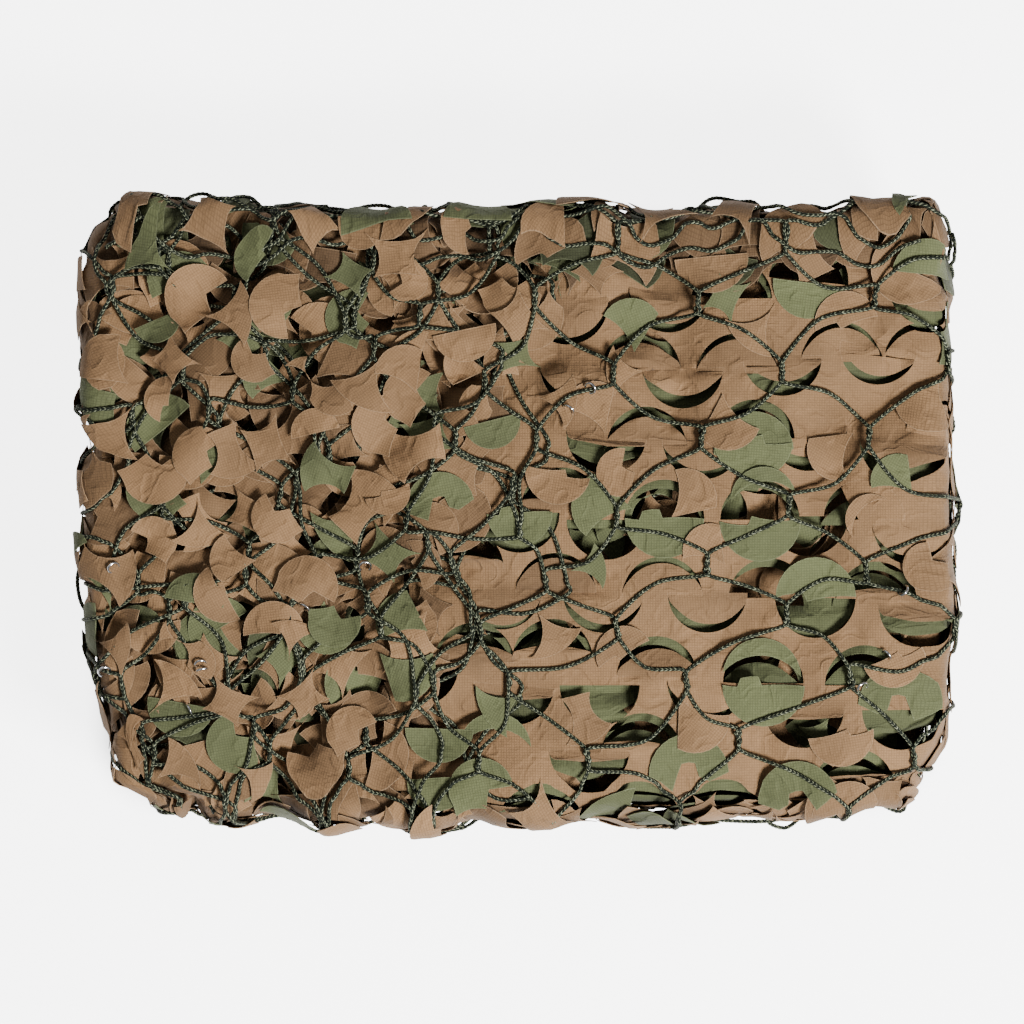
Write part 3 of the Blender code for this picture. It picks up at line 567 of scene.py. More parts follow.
class Pile:
    """The heights of all that has been laid, over the unrolled block."""

    def __init__(self):
        rise = softened(widest(solids_rise(), FORM_SPREAD), FORM_SOFTNESS)
        places = cell_places(*ALL_CELLS)
        side = np.minimum(1, directions(places)[2].reshape(rise.shape) / SIDE_FADE)
        self.top = np.maximum(rise - FACE_PILE, SIDE_DEEPEST * side + DEEPEST * (1 - side))
        far = places[:, 1].reshape(rise.shape) - FAR_SLOPE_FROM
        self.top -= FAR_SLOPE_DROP * np.clip(far / FAR_SLOPE_WIDTH, 0, 1) * (1 - side)

    def window(self, flat, margin):
        """Cell ranges round some flat places."""
        low = np.floor((flat.min(0) + SPREAD - margin) / CELL).astype(int)
        high = np.ceil((flat.max(0) + SPREAD + margin) / CELL).astype(int) + 2
        columns = (max(0, low[0]), min(CELLS[0], high[0]))
        rows = (max(0, low[1]), min(CELLS[1], high[1]))
        return rows, columns

    def seat(self, flat, spread_by, soften_by):
        """A soft surface over the pile near some flat places, as a function of flat places."""
        rows, columns = self.window(flat, (spread_by + soften_by + 1) * CELL)
        field = softened(widest(self.top[slice(*rows), slice(*columns)], spread_by), soften_by)
        start = np.array((columns[0] * CELL, rows[0] * CELL)) - SPREAD
        most = np.array(field.shape[::-1]) - 1.001

        def sample(places):
            at = np.clip((places - start) / CELL, 0, most)
            column, row = at.astype(int).T
            across, along = (at - at.astype(int)).T
            low = field[row, column] * (1 - across) + field[row, column + 1] * across
            high = field[row + 1, column] * (1 - across) + field[row + 1, column + 1] * across
            return low * (1 - along) + high * along

        return sample

    def inside(self, loop):
        """The heights of the cells round a closed loop, their flat places and which lie inside."""
        rows, columns = self.window(loop, CELL)
        places = cell_places(rows, columns)
        return self.top[slice(*rows), slice(*columns)], places, is_inside(places, loop)

    def raise_inside(self, loop, height):
        """Raises the pile to a height function inside a closed loop of flat places."""
        held, places, inside = self.inside(loop)
        if inside.any():
            flat = held.ravel()
            flat[inside] = np.maximum(flat[inside], height(places[inside]))
            held[...] = flat.reshape(held.shape)

    def raise_at(self, flat, rise):
        """Raises the cells under some flat places."""
        at = np.clip(((flat + SPREAD) / CELL).round().astype(int), 0, CELLS - 1)
        np.maximum.at(self.top, (at[:, 1], at[:, 0]), rise)

    def shortfall(self, loop, height):
        """How far a leaf has to rise until nearly all of it clears the pile."""
        held, places, inside = self.inside(loop)
        if not inside.any():
            return 0
        under = held.ravel()[inside] + CLOTH - height(places[inside])
        return max(0, np.percentile(under, NEARLY_ALL) + LEAF_CLEAR)


pile = Pile()
dice = random.Random(41)
# How many cells of the pile below a leaf it bridges and is softened over.
LEAF_SEAT = (1, 5)
# How leaves are creased, curled and rippled: reaches across a leaf (mm) and heights.
CREASE_REACH = 8
CURL = (-2, 2.5)
CURL_REACH = 24 * MM
RIPPLE = 0.7 * MM
RIPPLE_LENGTH = 4 * MM
ACROSS = np.array((0.0, 1.0))
# Keeps the flat cuts of different leaves apart on the UV map.
MAP_SPACING = 3.1


def lay_leaf(cloth, form, x, y, way, flip, size, lift, fold, tone):
    """Lays a leaf of a form on the pile; way turns it, lift raises its tip and fold creases it."""
    leaf = LEAVES[form]
    stretch = np.array((flip * size, size))
    middle = np.array((x, y))
    loop = turned(leaf["loop"] * stretch, way) + middle
    places = turned(leaf["places"] * stretch, way) + middle
    seat = pile.seat(loop, *LEAF_SEAT)
    toward = turned(ACROSS, way)
    crease = turned(ACROSS, dice.uniform(0, 360))
    crease_at = dice.uniform(-CREASE_REACH, CREASE_REACH) * MM
    curl_way = turned(ACROSS, dice.uniform(0, 360))
    curl = dice.uniform(*CURL) * MM
    phase = dice.uniform(0, 50)
    reach = (loop - middle) @ toward
    low, high = reach.min(), reach.max()

    def height(flat):
        off = flat - middle
        along = np.clip((off @ toward - low) / (high - low), 0, 1)
        from_crease = np.abs(off @ crease - crease_at)
        bent = lift * MM * along**1.6 - fold * np.maximum(0, from_crease - 1 * MM)
        bent += curl * (off @ curl_way / CURL_REACH) ** 2
        bent += RIPPLE * np.sin(off @ crease / RIPPLE_LENGTH + phase)
        return seat(flat) + CLOTH + LEAF_CLEAR + bent

    short = pile.shortfall(loop, height)

    def lifted(flat):
        return height(flat) + short

    faces = leaf["faces"] if flip > 0 else leaf["faces"][:, ::-1]
    flat = leaf["places"] * stretch + middle * MAP_SPACING
    cloth.add(stand(places, lifted(places)), faces, flat, leaf["fringe"], tone)
    pile.raise_inside(loop, lifted)


def scatter(cloth, spot, forms, lift, folds, size, tone, ways=(0, 360), way=0.0, shade=0.0):
    """Lays one leaf that is drawn by lot: its form, turn, tip's lift, crease, size and tone, less the painted
    shade it is given.
    """
    form = dice.choice(forms)
    way += dice.uniform(*ways)
    lift = dice.uniform(*lift)
    fold = dice.choice(folds)
    flip = dice.choice((-1, 1))
    size = dice.uniform(*size)
    lay_leaf(cloth, form, *spot, way, flip, size, lift, fold, dice.uniform(*tone) - shade)


def either(brown, green, green_share):
    return green if dice.random() < green_share else brown


def spot_near(x, y, reach_x, reach_y):
    """A flat place within a reach (mm) of another."""
    return x + dice.uniform(-reach_x, reach_x) * MM, y + dice.uniform(-reach_y, reach_y) * MM


SCRAPS = ("cap", "comma", "web", "horn", "anvil", "crescent", "wave", "wedge")
LOWER_STEP = 23 * MM
LOWER_REACH = 9
LOWER_GREEN = 0.38
# The lower leaves' tones run darker than those above: painted shade for their depth under the upper cloths.
LOWER = {
    "forms": SCRAPS, "lift": (-3, 9), "folds": (0, 0.15, 0.3, 0.5), "size": (0.8, 1.05), "tone": (-0.6, 0.4),
}
brown_lower, green_lower = Cloth(), Cloth()
for y in np.arange(-WIDTH / 2 - LOWER_STEP, WIDTH / 2 + LOWER_STEP, LOWER_STEP):
    for x in np.arange(-LENGTH / 2 - LOWER_STEP, LENGTH / 2 + LOWER_STEP, LOWER_STEP):
        cloth = either(brown_lower, green_lower, LOWER_GREEN)
        scatter(cloth, spot_near(x, y, LOWER_REACH, LOWER_REACH), **LOWER)

# ---------------------------------------------------------------- the first crossing of cords
# Knotless net of a dark green braid: each cord zigzags between two rows of joints, where it
# runs beside its neighbour for a centimetre. A first crossing of the net lies between the lower
# scraps and the die-cut cloths. It rests on the cloth and sags into its gaps.
CORD_RADIUS = 1.27 * MM
CORD_HEIGHT = 1.4 * CORD_RADIUS
CORD_STIFFNESS = 5 * MM
CORD_SEAT = (1, 1)
BRAID = 2.5 * MM
# How thick the braid is between its beads, and how much thicker or thinner at them.
BEAD = (0.92, 0.10)
JOINT_RUN = 6.5 * MM
# Two cords lie closer together, by this share, at the middle of their joint.
JOINT_PINCH = 0.75
# Columns for each row of joints, from the far side to the near: y, x of its first joint (mm).
NET_ROWS = (
    (250, 108), (217, 154), (184, 108), (151, 154), (117, 110), (81, 156), (43, 110), (2, 158),
    (-30, 108), (-62, 152), (-101, 92), (-138, 130), (-175, 100), (-206, 150), (-238, 104),
)
# The order in which the rows are drawn by lot: those on the face first.
DRAWN_FIRST = (*range(2, 13), 1, 0, 13, 14)
NET_INDEXES = range(-6, 3)
NET_PITCH = 93.4 * MM
NET_TIGHT_PITCH = 61 * MM
NET_TIGHT_FROM = 26 * MM


def braid_finish():
    """Dark green braid with pale flecks: two rows of slanted strands that meet along the crown."""
    made = bpy.data.materials.new("braided cord")
    made.use_nodes = True
    shader = made.node_tree.nodes["Principled BSDF"]
    shader.inputs["Roughness"].default_value = 0.7
    shader.inputs["Specular IOR Level"].default_value = 0.15
    shading = Shading(made.node_tree)
    maths = shading.maths
    place = shading.new("ShaderNodeTexCoord").outputs["Object"]
    grain = shading.grain(place, scale=520, detail=1)
    run, crown = shading.split(shading.attribute("braid")["Vector"])[:2]
    off = maths("ABSOLUTE", maths("SUBTRACT", crown, 0.5))
    slant = maths("MULTIPLY", off, 2.1 * 2 * math.pi)
    strand = maths("COSINE", maths("ADD", maths("MULTIPLY", run, 2 * math.pi / BRAID), slant))
    side = maths("SINE", maths("MULTIPLY", maths("ADD", off, 0.02), 2 * math.pi))
    pattern = maths("ADD", maths("MULTIPLY", strand, side), maths("MULTIPLY", grain, 2.2))
    fleck = shading.fade(pattern, 1.45, 1.95, 0.0, 1.0)
    colour = shading.mixed("MIX", fleck, (0.007, 0.010, 0.006), (0.29, 0.31, 0.20))
    shading.link(colour, shader.inputs["Base Color"])
    return made


BRAIDED = braid_finish()


class Cords:
    """Lengths of braided cord in the making, joined into one mesh."""

    def __init__(self, step, sides):
        self.step = step
        self.sides = sides
        self.places = []
        self.faces = []
        self.marks = []
        self.count = 0

    def add(self, centres, ups):
        """Adds a cord along its centres, with rings that swell and narrow as its strands cross."""
        ahead = np.gradient(centres, axis=0)
        ahead /= np.linalg.norm(ahead, axis=1)[:, None]
        side = np.cross(ahead, ups)
        side /= np.maximum(np.linalg.norm(side, axis=1), 1e-9)[:, None]
        up = np.cross(side, ahead)
        along = np.concatenate(((0,), np.cumsum(np.linalg.norm(np.diff(centres, axis=0), axis=1))))
        turns = np.arange(self.sides) / self.sides * 2 * math.pi
        crown = np.abs(((turns / math.pi) % 2) - 1)
        beat = np.cos(2 * math.pi * (along[:, None] / BRAID + 0.5 * crown[None]))
        radius = CORD_RADIUS * (BEAD[0] + BEAD[1] * beat)[..., None]
        spokes = np.cos(turns)[:, None] * side[:, None] + np.sin(turns)[:, None] * up[:, None]
        rings = centres[:, None] + radius * spokes
        count = len(centres)
        first = np.arange(count - 1)[:, None] * self.sides
        spoke = np.arange(self.sides)[None]
        after = (spoke + 1) % self.sides
        corners = (first + spoke, first + self.sides + spoke, first + self.sides + after, first + after)
        quads = np.stack(corners, -1).reshape(-1, 4)
        start_cap = np.arange(self.sides)
        end_cap = np.arange(count * self.sides - 1, (count - 1) * self.sides - 1, -1)
        for faces in (quads, [start_cap], [end_cap]):
            self.faces += (np.array(faces) + self.count).tolist()
        self.places.append(rings.reshape(-1, 3))
        self.marks.append(np.column_stack((np.repeat(along, self.sides), np.tile(crown, count))))
        self.count += count * self.sides

    def lay(self, route, sink=0.0):
        """Lays a cord along a route seen from above, down on the pile."""
        flat = unrolled(smooth_route(route, self.step))
        rise = pile.seat(flat, *CORD_SEAT)(flat)
        reach = max(1, int(CORD_STIFFNESS / self.step))
        spans = range(2 * reach + 1)
        padded = np.pad(rise, reach, mode="edge")
        high = np.max([padded[shift : shift + len(rise)] for shift in spans], axis=0)
        padded = np.pad(high, reach, mode="edge")
        soft = np.mean([padded[shift : shift + len(rise)] for shift in spans], axis=0)
        rise = 0.5 * soft + 0.5 * rise + CORD_RADIUS - sink
        places = stand(flat, rise)
        places[:, 2] = np.maximum(places[:, 2], CORD_RADIUS + FLOOR_GAP)
        self.add(places, directions(flat)[1])
        pile.raise_at(flat, rise + CORD_HEIGHT)

    def finish(self, name):
        """Makes the piece, with how far along and round its cord each point lies as its marks."""
        mesh = bpy.data.meshes.new(name)
        mesh.from_pydata(np.concatenate(self.places).tolist(), [], self.faces)
        layer = mesh.attributes.new("braid", "FLOAT2", "POINT")
        layer.data.foreach_set("vector", np.concatenate(self.marks).astype(np.float32).ravel())
        mesh.materials.append(BRAIDED)
        mesh.shade_smooth()
        piece = bpy.data.objects.new(name, mesh)
        bpy.context.scene.collection.objects.link(piece)
        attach(piece, "root")
        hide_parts("cord_net")


def smooth_route(points, step):
    """An even walk along a soft curve through points."""
    points = np.array(points)
    padded = np.vstack((2 * points[0] - points[1], points, 2 * points[-1] - points[-2]))
    walk = []
    for before, start, end, after in zip(padded, padded[1:], padded[2:], padded[3:]):
        count = max(2, int(np.linalg.norm(end - start) / step))
        share = np.arange(count)[:, None] / count
        walk.append(0.5 * (
            2 * start + (end - before) * share
            + (2 * before - 5 * start + 4 * end - after) * share**2
            + (3 * start - before - 3 * end + after) * share**3
        ))
    walk.append(points[-1:])
    return np.concatenate(walk)


def unrolled(plan):
    """Flat places of places seen from above."""
    core = np.clip(plan, -CORE, CORE)
    beyond = plan - core
    far = np.hypot(*beyond.T)
    bent = BEND * 2 / math.pi * np.arcsin(np.minimum(1, far / BORDER))
    flat = np.where(far < BORDER, bent, BEND + far - BORDER)
    return core + beyond * (flat / np.maximum(far, 1e-9))[:, None]


def net_joint(lot, row, index, wander, tight_wander):
    """A joint of the net; its left part is pushed together."""
    y, start = row
    x = start * MM + index * NET_PITCH
    if x < NET_TIGHT_FROM:
        x = NET_TIGHT_FROM + (x - NET_TIGHT_FROM) * NET_TIGHT_PITCH / NET_PITCH
        wander = tight_wander
    return np.array((x + lot.uniform(-wander, wander), y * MM + lot.uniform(-wander, wander)))


def strands(seed, wander, tight_wander, lap, bow):
    """The zigzag routes of a whole net seen from above, from the far side to the near."""
    lot = random.Random(seed)
    rows = {}
    for number in DRAWN_FIRST:
        row = NET_ROWS[number]
        rows[number] = [net_joint(lot, row, index, wander, tight_wander) for index in NET_INDEXES]
    for index in range(1, len(NET_INDEXES)):
        for side in (1, -1):
            route = []
            for number, joints in sorted(rows.items()):
                odd = number % 2
                joint = joints[index - 1 if odd and side < 0 else index]
                offset = np.array((side * lap * (1 - 2 * odd), 0))
                run = np.array((lot.uniform(-1, 1) * MM, -JOINT_RUN))
                if route:
                    chord = joint - run + offset - route[-1]
                    lean = np.array((-chord[1], chord[0])) * lot.uniform(-bow, bow)
                    route.append(route[-1] + chord / 2 + lean)
                route += [joint + offset - run, joint + JOINT_PINCH * offset, joint + offset + run]
            yield np.array(route)


lower_cords = Cords(2.2 * MM, sides=5)
for route in strands(seed=19, wander=12 * MM, tight_wander=14 * MM, lap=1.4 * MM, bow=0.14):
    lower_cords.lay(route)
lower_cords.finish("lower_cords")

# ---------------------------------------------------------------- the die-cut cloths
# The right part of the face is one smooth length of brown cloth over one of green. The die
# cuts upper and lower half circles in turn; most of its flaps have slipped towards their
# hinges, some are gone or turned out.
RADIUS = 23 * MM
CUT_STEP = 2.4 * MM
SHEET_STEP = 6.5 * MM
SHEET_FRINGE = 0.4
SHEET_TOP = 0.8 * MM
# How many cells of the pile below a smooth cloth it bridges and is softened over.
SHEET_SEAT = (4, 9)
# How high its broad waves, soft creases and fine crumple stand (mm).
WAVES, CREASES, CRUMPLE = 3.2, 3.6, 1.2
GREEN_SHIFT = np.array((-1.5, -5.0)) * MM
# How a flap has moved: its slip in a gathered run off the hinge, its tip's lift (degrees), its
# twist, its lean, the ridge of the gather and the bend of its tip (radii).
LEAST_SLIP = 1.8 * MM
SLIP_RUN = 12 * MM
LIFT = (4, 9)
LIFT_BY_SLIP = 1.0
TWIST = 0.12
SKEW = 0.07
RIDGE = 2.2 * MM
RIDGE_SHARE = 0.25
CROOK = 0.5
CROOK_LENGTH = 6 * MM
SAG = 0.7
BEND_FROM = 0.55
# Each flap's tone moves by a noise over its place and drops a little: painted light and shade for its tilt.
FLAP_TILT_SHADING, FLAP_SHADE = 0.9, 0.15
# A half torn off flap ends along a slanting line (radii).
TORN_SLANT, TORN_AT = 0.5, -0.1
# How near a point has to be to lie on the cut or on the hinge.
ON_CUT, ON_HINGE = 0.08 * MM, 0.05 * MM
GONE = None
HALF = "half"
BROWN_SLIP, GREEN_SLIP = 6, 7
# Columns: upper or lower half circle, x, y (mm), tilt (degrees), where its hinge starts and ends
# (radii), how far the brown and the green flap have slipped towards it (mm).
DIES = (
    ("L", 175, 163, -4, -1, 0.5, 4, 3),
    ("L", 88, 126, -8, -0.5, 1, 3, 2),
    ("U", 124, 122, 0, -1, 0.5, GONE, GONE),
    ("U", 56, 132, -15, -0.5, 1, 9, 3),
    ("L", 30, 119, 12, -1, 0.6, 2, 2),
    ("U", 168, 132, -6, -1, 1, GONE, GONE),
    ("L", 238, 130, 6, -1, 1, 6, 2),
    ("U", 72, 81, 0, -0.4, 1, 5, 5),
    ("L", 37, 83, -4, -1, 0.5, 3, 2),
    ("U", 127, 79, 0, -0.4, 1, 1.5, 3),
    ("L", 96, 82, 3, -1, 0.4, 5, 0),
    ("U", 187, 86, 0, -0.4, 1, 1.5, 3),
    ("L", 153, 89, 3, -1, 0.4, 6, 2),
    ("U", 235, 86, 0, -1, 1, 2, 2),
    ("L", 209, 96, -15, -0.5, 1, 3, 0),
    ("U", 75, 37, 0, -0.3, 1, 4, 6),
    ("L", 52, 44, -6, -1, 0.5, 14, 8),
    ("L", 107, 41, 2, -1, 1, 3, 1),
    ("U", 137, 41, 0, -1, 1, GONE, GONE),
    ("L", 168, 46, 12, -0.5, 1, 6, 0),
    ("U", 247, 41, -13, -0.4, 1, 1, 2),
    ("L", 221, 39, -5, -1, 0.4, 6, 2),
    ("U", 26, 2, 0, -1, 0.2, 15, 9),
    ("L", 52, -5, 0, -0.2, 1, GONE, GONE),
    ("U", 85, -5, 0, -1, 1, GONE, GONE),
    ("U", 140, -5, 0, -1, 1, GONE, GONE),
    ("L", 168, -3, 0, -1, 1, GONE, GONE),
    ("U", 200, -5, 0, -1, 0.3, HALF, 4),
    ("L", 228, -8, 0, -0.6, 1, 3, 5),
    ("L", 2, -1, 0, -1, 1, GONE, 2),
    ("U", -30, -33, 0, -0.2, 1, 13, 5),
    ("L", -8, -45, 0, -0.3, 1, 0.5, 1),
    ("U", 23, -47, 0, -1, 0.3, 1, 3),
    ("L", 50, -47, 0, -1, 0.5, 3, 1),
    ("U", 84, -49, 0, -0.5, 0.3, 2, 3),
    ("L", 110, -47, 0, -0.3, 1, 3, 0),
    ("U", 145, -50, 0, -1, 1, GONE, GONE),
    ("L", 172, -50, 0, -1, 1, GONE, 2),
    ("U", 207, -52, 0, -1, 0.4, 14, 0),
    ("L", 231, -55, 0, -1, 1, 12, 9),
    ("L", -56, -89, 10, -0.6, 0.4, 14, GONE),
    ("U", -24, -87, 0, -0.3, 0.3, 9, 3),
    ("L", -1, -100, -5, -0.4, 0.4, 13, 4),
    ("U", 21, -85, 0, -0.3, 0.2, 12, 5),
    ("L", 48, -100, 0, -1, 1, GONE, 7),
    ("U", 81, -95, 0, -0.5, 0.4, 5, 3),
    ("L", 110, -98, -4, -0.4, 1, 3, 1),
    ("U", 142, -99, 0, -1, 1, GONE, 4),
    ("L", 165, -113, 0, -0.6, 1, 15, GONE),
    ("U", 200, -100, 0, -1, 1, GONE, 2),
    ("L", 221, -114, 0, -1, 1, GONE, 12),
    ("U", 72, -139, -5, -1, 0.4, 14, 3),
    ("L", 42, -137, 0, -0.4, 1, 15, 9),
    ("U", 194, -159, -4, -1, 1, 13, 3),
    ("U", 14, -179, -6, -1, 0.4, 11, 3),
    ("U", 70, -178, 0, -1, 1, GONE, 3),
    ("U", 119, -177, 0, -1, 1, GONE, 3),
)
# The smooth cloth's outline on the unrolled block. Columns: x, y (mm), bow.
SHEET_OUTLINE = (
    (-78, -212, 0), (240, -212, 0.42), (288, -160, 0), (288, 120, 0.42), (250, 176, 0),
    (20, 176, -0.1), (-30, 60, 0.1), (-62, -40, -0.1),
)


class Die:
    """One half circle of the die, with its flap's own flat places: along the hinge and off it."""

    def __init__(self, kind, x, y, tilt, hinge_from, hinge_to, slip, shift):
        turn = math.radians(tilt)
        self.middle = np.array((x, y)) * MM + shift
        self.along = np.array((math.cos(turn), math.sin(turn)))
        self.off = np.array((-math.sin(turn), math.cos(turn))) * (1 if kind == "U" else -1)
        self.hinge = (hinge_from * RADIUS, hinge_to * RADIUS)
        self.slip = slip

    def local(self, places):
        away = places - self.middle
        return away @ self.along, away @ self.off

    def flat(self, along, off):
        return self.middle + np.outer(along, self.along) + np.outer(off, self.off)

    def chains(self):
        """The cut and a fringe on both sides of it, then the hinge and the strokes back to it."""
        turns = np.linspace(0, math.pi, int(math.pi * RADIUS / CUT_STEP))
        for radius in (RADIUS - FRINGE, RADIUS, RADIUS + FRINGE):
            yield self.flat(radius * np.cos(turns), radius * np.sin(turns))
        stops = sorted({-RADIUS, *self.hinge, RADIUS})
        for start, end in zip(stops, stops[1:]):
            along = np.linspace(start, end, max(2, round((end - start) / (2 * CUT_STEP)) + 1))
            is_hinge = self.hinge[0] <= start and end <= self.hinge[1]
            for off in (0,) if is_hinge else (-FRINGE, 0, FRINGE):
                yield self.flat(along, np.full(len(along), off))

    def is_flap(self, places):
        along, off = self.local(places)
        return (off > 0) & (np.hypot(along, off) < RADIUS)

    def is_off_hinge(self, along, near):
        return (along < self.hinge[0] - near) | (along > self.hinge[1] + near)

    def on_cut(self, places, near):
        """Which places lie on the cut, along its arc or along the strokes back to its hinge."""
        along, off = self.local(places)
        on_arc = (np.abs(np.hypot(along, off) - RADIUS) < near) & (off > -near)
        on_stroke = (np.abs(off) < near) & self.is_off_hinge(along, near) & (np.abs(along) < RADIUS)
        return on_arc | on_stroke

    def is_free(self, places, near):
        """Which of the flap's border places are free of the hinge."""
        along, off = self.local(places)
        return (np.abs(off) > near) | self.is_off_hinge(along, near)

    def is_torn_off(self, places):
        """Which places are on the missing part of a flap that is only half there."""
        along, off = self.local(places)
        return along + TORN_SLANT * off < TORN_AT * RADIUS

    def moved(self, places, rise):
        """The flap's places once it has slipped towards its hinge and lifted a little."""
        along, off = self.local(places)
        slip = self.slip * MM + LEAST_SLIP
        run = SLIP_RUN + slip
        share = np.clip(off / run, 0, 1)
        ease = share * share * (3 - 2 * share)
        lift = math.radians(dice.uniform(*LIFT) + LIFT_BY_SLIP * self.slip)
        skew = dice.uniform(-SKEW, SKEW)
        ridge = min(RIDGE, RIDGE_SHARE * math.sqrt(slip * run))
        crook = 1 + CROOK * np.sin(along / CROOK_LENGTH + dice.uniform(0, 6))
        bend = np.maximum(0, off - BEND_FROM * RADIUS) ** 2 / RADIUS
        rise = rise + off * math.sin(lift) * SAG + ridge * crook * np.sin(math.pi * share) - 0.5 * bend
        rise = rise + dice.uniform(-TWIST, TWIST) * along * off / RADIUS
        return self.flat(along + skew * off, off * math.cos(lift) - slip * ease), rise


def wrinkles(x, y, seed):
    """Broad waves, with soft creases that run together and a fine crumple."""
    broad = noise.noise(Vector((x * 15, y * 19, seed)))
    crease = 1 - abs(noise.noise(Vector((x * 26, y * 34, seed + 3)))) * 5
    crease = max(0.0, crease) * (0.5 + noise.noise(Vector((x * 9, y * 9, seed + 7))))
    fine = noise.noise(Vector((x * 85, y * 70, seed)))
    return (WAVES * broad + CREASES * crease + CRUMPLE * fine) * MM


def cut_sheet(cloth, shift, slip_column, clear, tone, seed):
    """Lays one die-cut length of cloth on the pile, a clearance above it."""
    dies = [Die(*row[:6], row[slip_column], shift) for row in DIES]
    loop = loop_of(SHEET_OUTLINE)
    chains = [np.vstack((loop, loop[:1]))] + [chain for die in dies for chain in die.chains()]
    points, edges = [], []
    for chain in chains:
        edges += [(len(points) + index, len(points) + index + 1) for index in range(len(chain) - 1)]
        points += [*chain]
    points += [*grid_inside(loop, SHEET_STEP, np.concatenate(chains))]
    flat, faces, _ = triangles_inside(loop, points, edges, 1e-6)
    fringe = np.zeros(len(flat))
    region = np.full(len(faces), -1)
    middles = flat[faces].mean(1)
    for index, die in enumerate(dies):
        fringe[die.on_cut(flat, ON_CUT)] = SHEET_FRINGE
        region[(region < 0) & die.is_flap(middles)] = index
    seat = pile.seat(loop, *SHEET_SEAT)
    rise = seat(flat) + clear + np.array([wrinkles(x, y, seed) for x, y in flat])
    where = flat.copy()
    tones_and_shade = np.full(len(flat), tone)
    for index, die in enumerate(dies):
        own = region == index
        if die.slip is GONE or not own.any():
            continue
        # The flap gets border points of its own wherever the die has cut it free.
        shared = np.intersect1d(np.unique(faces[own]), np.unique(faces[~own]))
        doubles = shared[die.is_free(flat[shared], ON_HINGE)]
        renumber = np.arange(len(flat))
        renumber[doubles] = len(flat) + np.arange(len(doubles))
        flat, where, rise, fringe, tones_and_shade = (
            np.concatenate((values, values[doubles])) for values in (flat, where, rise, fringe, tones_and_shade)
        )
        faces[own] = renumber[faces[own]]
        if die.slip == HALF:
            torn = own & die.is_torn_off(flat[faces].mean(1))
            faces, region = faces[~torn], region[~torn]
            continue
        used = np.unique(faces[own])
        where[used], rise[used] = die.moved(flat[used], rise[used])
        # Painted light and shade for the flap's tilt: its tone moves by a noise and drops a little.
        tones_and_shade[used] += FLAP_TILT_SHADING * noise.noise(Vector((*die.middle * 31, seed))) - FLAP_SHADE
    gone = [index for index, die in enumerate(dies) if die.slip is GONE]
    kept, faces = np.unique(faces[~np.isin(region, gone)], return_inverse=True)
    places = stand(where[kept], rise[kept])
    cloth.add(places, faces.reshape(-1, 3), flat[kept], fringe[kept], tones_and_shade[kept])

    def top(flat):
        return seat(flat) + clear + SHEET_TOP

    pile.raise_inside(loop, top)
    pile.raise_at(where[kept], rise[kept])


# Scraps of the cloths below fill the openings of the missing flaps.
TOP_SCRAPS = ("cap", "comma", "web", "horn", "anvil", "torn", "web", "comma", "wedge", "wave")
OPENING_SCRAPS = 4
OPENING_REACH = (20, 16)
OPENING_GREEN = 0.45
WIDE_SLIP = 10
OPENING = {
    "forms": TOP_SCRAPS, "lift": (2, 7), "folds": (0, 0.15, 0.3), "size": (0.6, 0.9), "tone": (0.2, 0.9),
}
for row in DIES:
    if row[BROWN_SLIP] in (GONE, HALF) or row[BROWN_SLIP] > WIDE_SLIP:
        for _ in range(OPENING_SCRAPS):
            spot = spot_near(row[1] * MM, row[2] * MM, *OPENING_REACH)
            scatter(either(brown_lower, green_lower, OPENING_GREEN), spot, **OPENING)
brown_lower.finish("brown_lower_leaves", BROWN, "brown_ripstop")
green_lower.finish("green_lower_leaves", GREEN, "green_ripstop")

brown_sheet, green_sheet = Cloth(), Cloth()
cut_sheet(green_sheet, GREEN_SHIFT, GREEN_SLIP, clear=3.5 * MM, tone=0.3, seed=5)
cut_sheet(brown_sheet, np.zeros(2), BROWN_SLIP, clear=2 * MM, tone=0.55, seed=9)
brown_sheet.finish("brown_die_cut_cloth", BROWN, "brown_ripstop")
green_sheet.finish("green_die_cut_cloth", GREEN, "green_ripstop")

# ---------------------------------------------------------------- the sides
# The cut borders of the folded layers: leaves of both cloths that hang one over the other
# down the block's four sides. They stand in rows from the floor up.
ROW_LEVELS = (101, 92, 80, 70, 59, 49, 38, 27, 16, 5)
ROW_LIFTED = 14
SIDE_STEP = 27.5 * MM
SIDE_REACH = (7, 4)
SIDE_GREEN = 0.33
SIDE = {
    "forms": SCRAPS, "lift": (0, 4), "folds": (0, 0.1, 0.25), "size": (0.7, 0.95), "tone": (0.1, 0.8),
    "ways": (-45, 45),
}
# The corner that ends each side. Columns: right (1) or left (-1), far (1) or near (-1).
CORNERS = ((1, -1), (1, 1), (-1, 1), (-1, -1))


def border_places(down, step, shift):
    """Flat places round the block at one depth down its sides, with the way out of each."""
    far = BEND + down
    corner = far * math.pi / 2
    total = 4 * CORE.sum() + 4 * corner
    count = int(total / step)
    for index in range(count):
        at = (index + shift) * total / count % total
        for side in range(4):
            straight = 2 * CORE[side % 2]
            angle = side * math.pi / 2
            if at < straight:
                out = np.array((math.sin(angle), -math.cos(angle)))
                run = np.array((math.cos(angle), math.sin(angle)))
                place = out * (CORE[1 - side % 2] + far) + run * (at - straight / 2)
                yield place, math.degrees(angle) - 90
                break
            at -= straight
            if at < corner:
                turn = angle - math.pi / 2 + at / far
                out = np.array((math.cos(turn), math.sin(turn)))
                yield CORE * CORNERS[side] + out * far, math.degrees(turn)
                break
            at -= corner


brown_side, green_side = Cloth(), Cloth()
for row, level in enumerate(ROW_LEVELS):
    for place, outward in border_places((level - ROW_LIFTED) * MM, SIDE_STEP, 0.5 * (row % 2)):
        cloth = either(brown_side, green_side, SIDE_GREEN)
        scatter(cloth, spot_near(*place, *SIDE_REACH), way=outward - 90, **SIDE)
brown_side.finish("brown_side_leaves", BROWN, "brown_ripstop")
green_side.finish("green_side_leaves", GREEN, "green_ripstop")
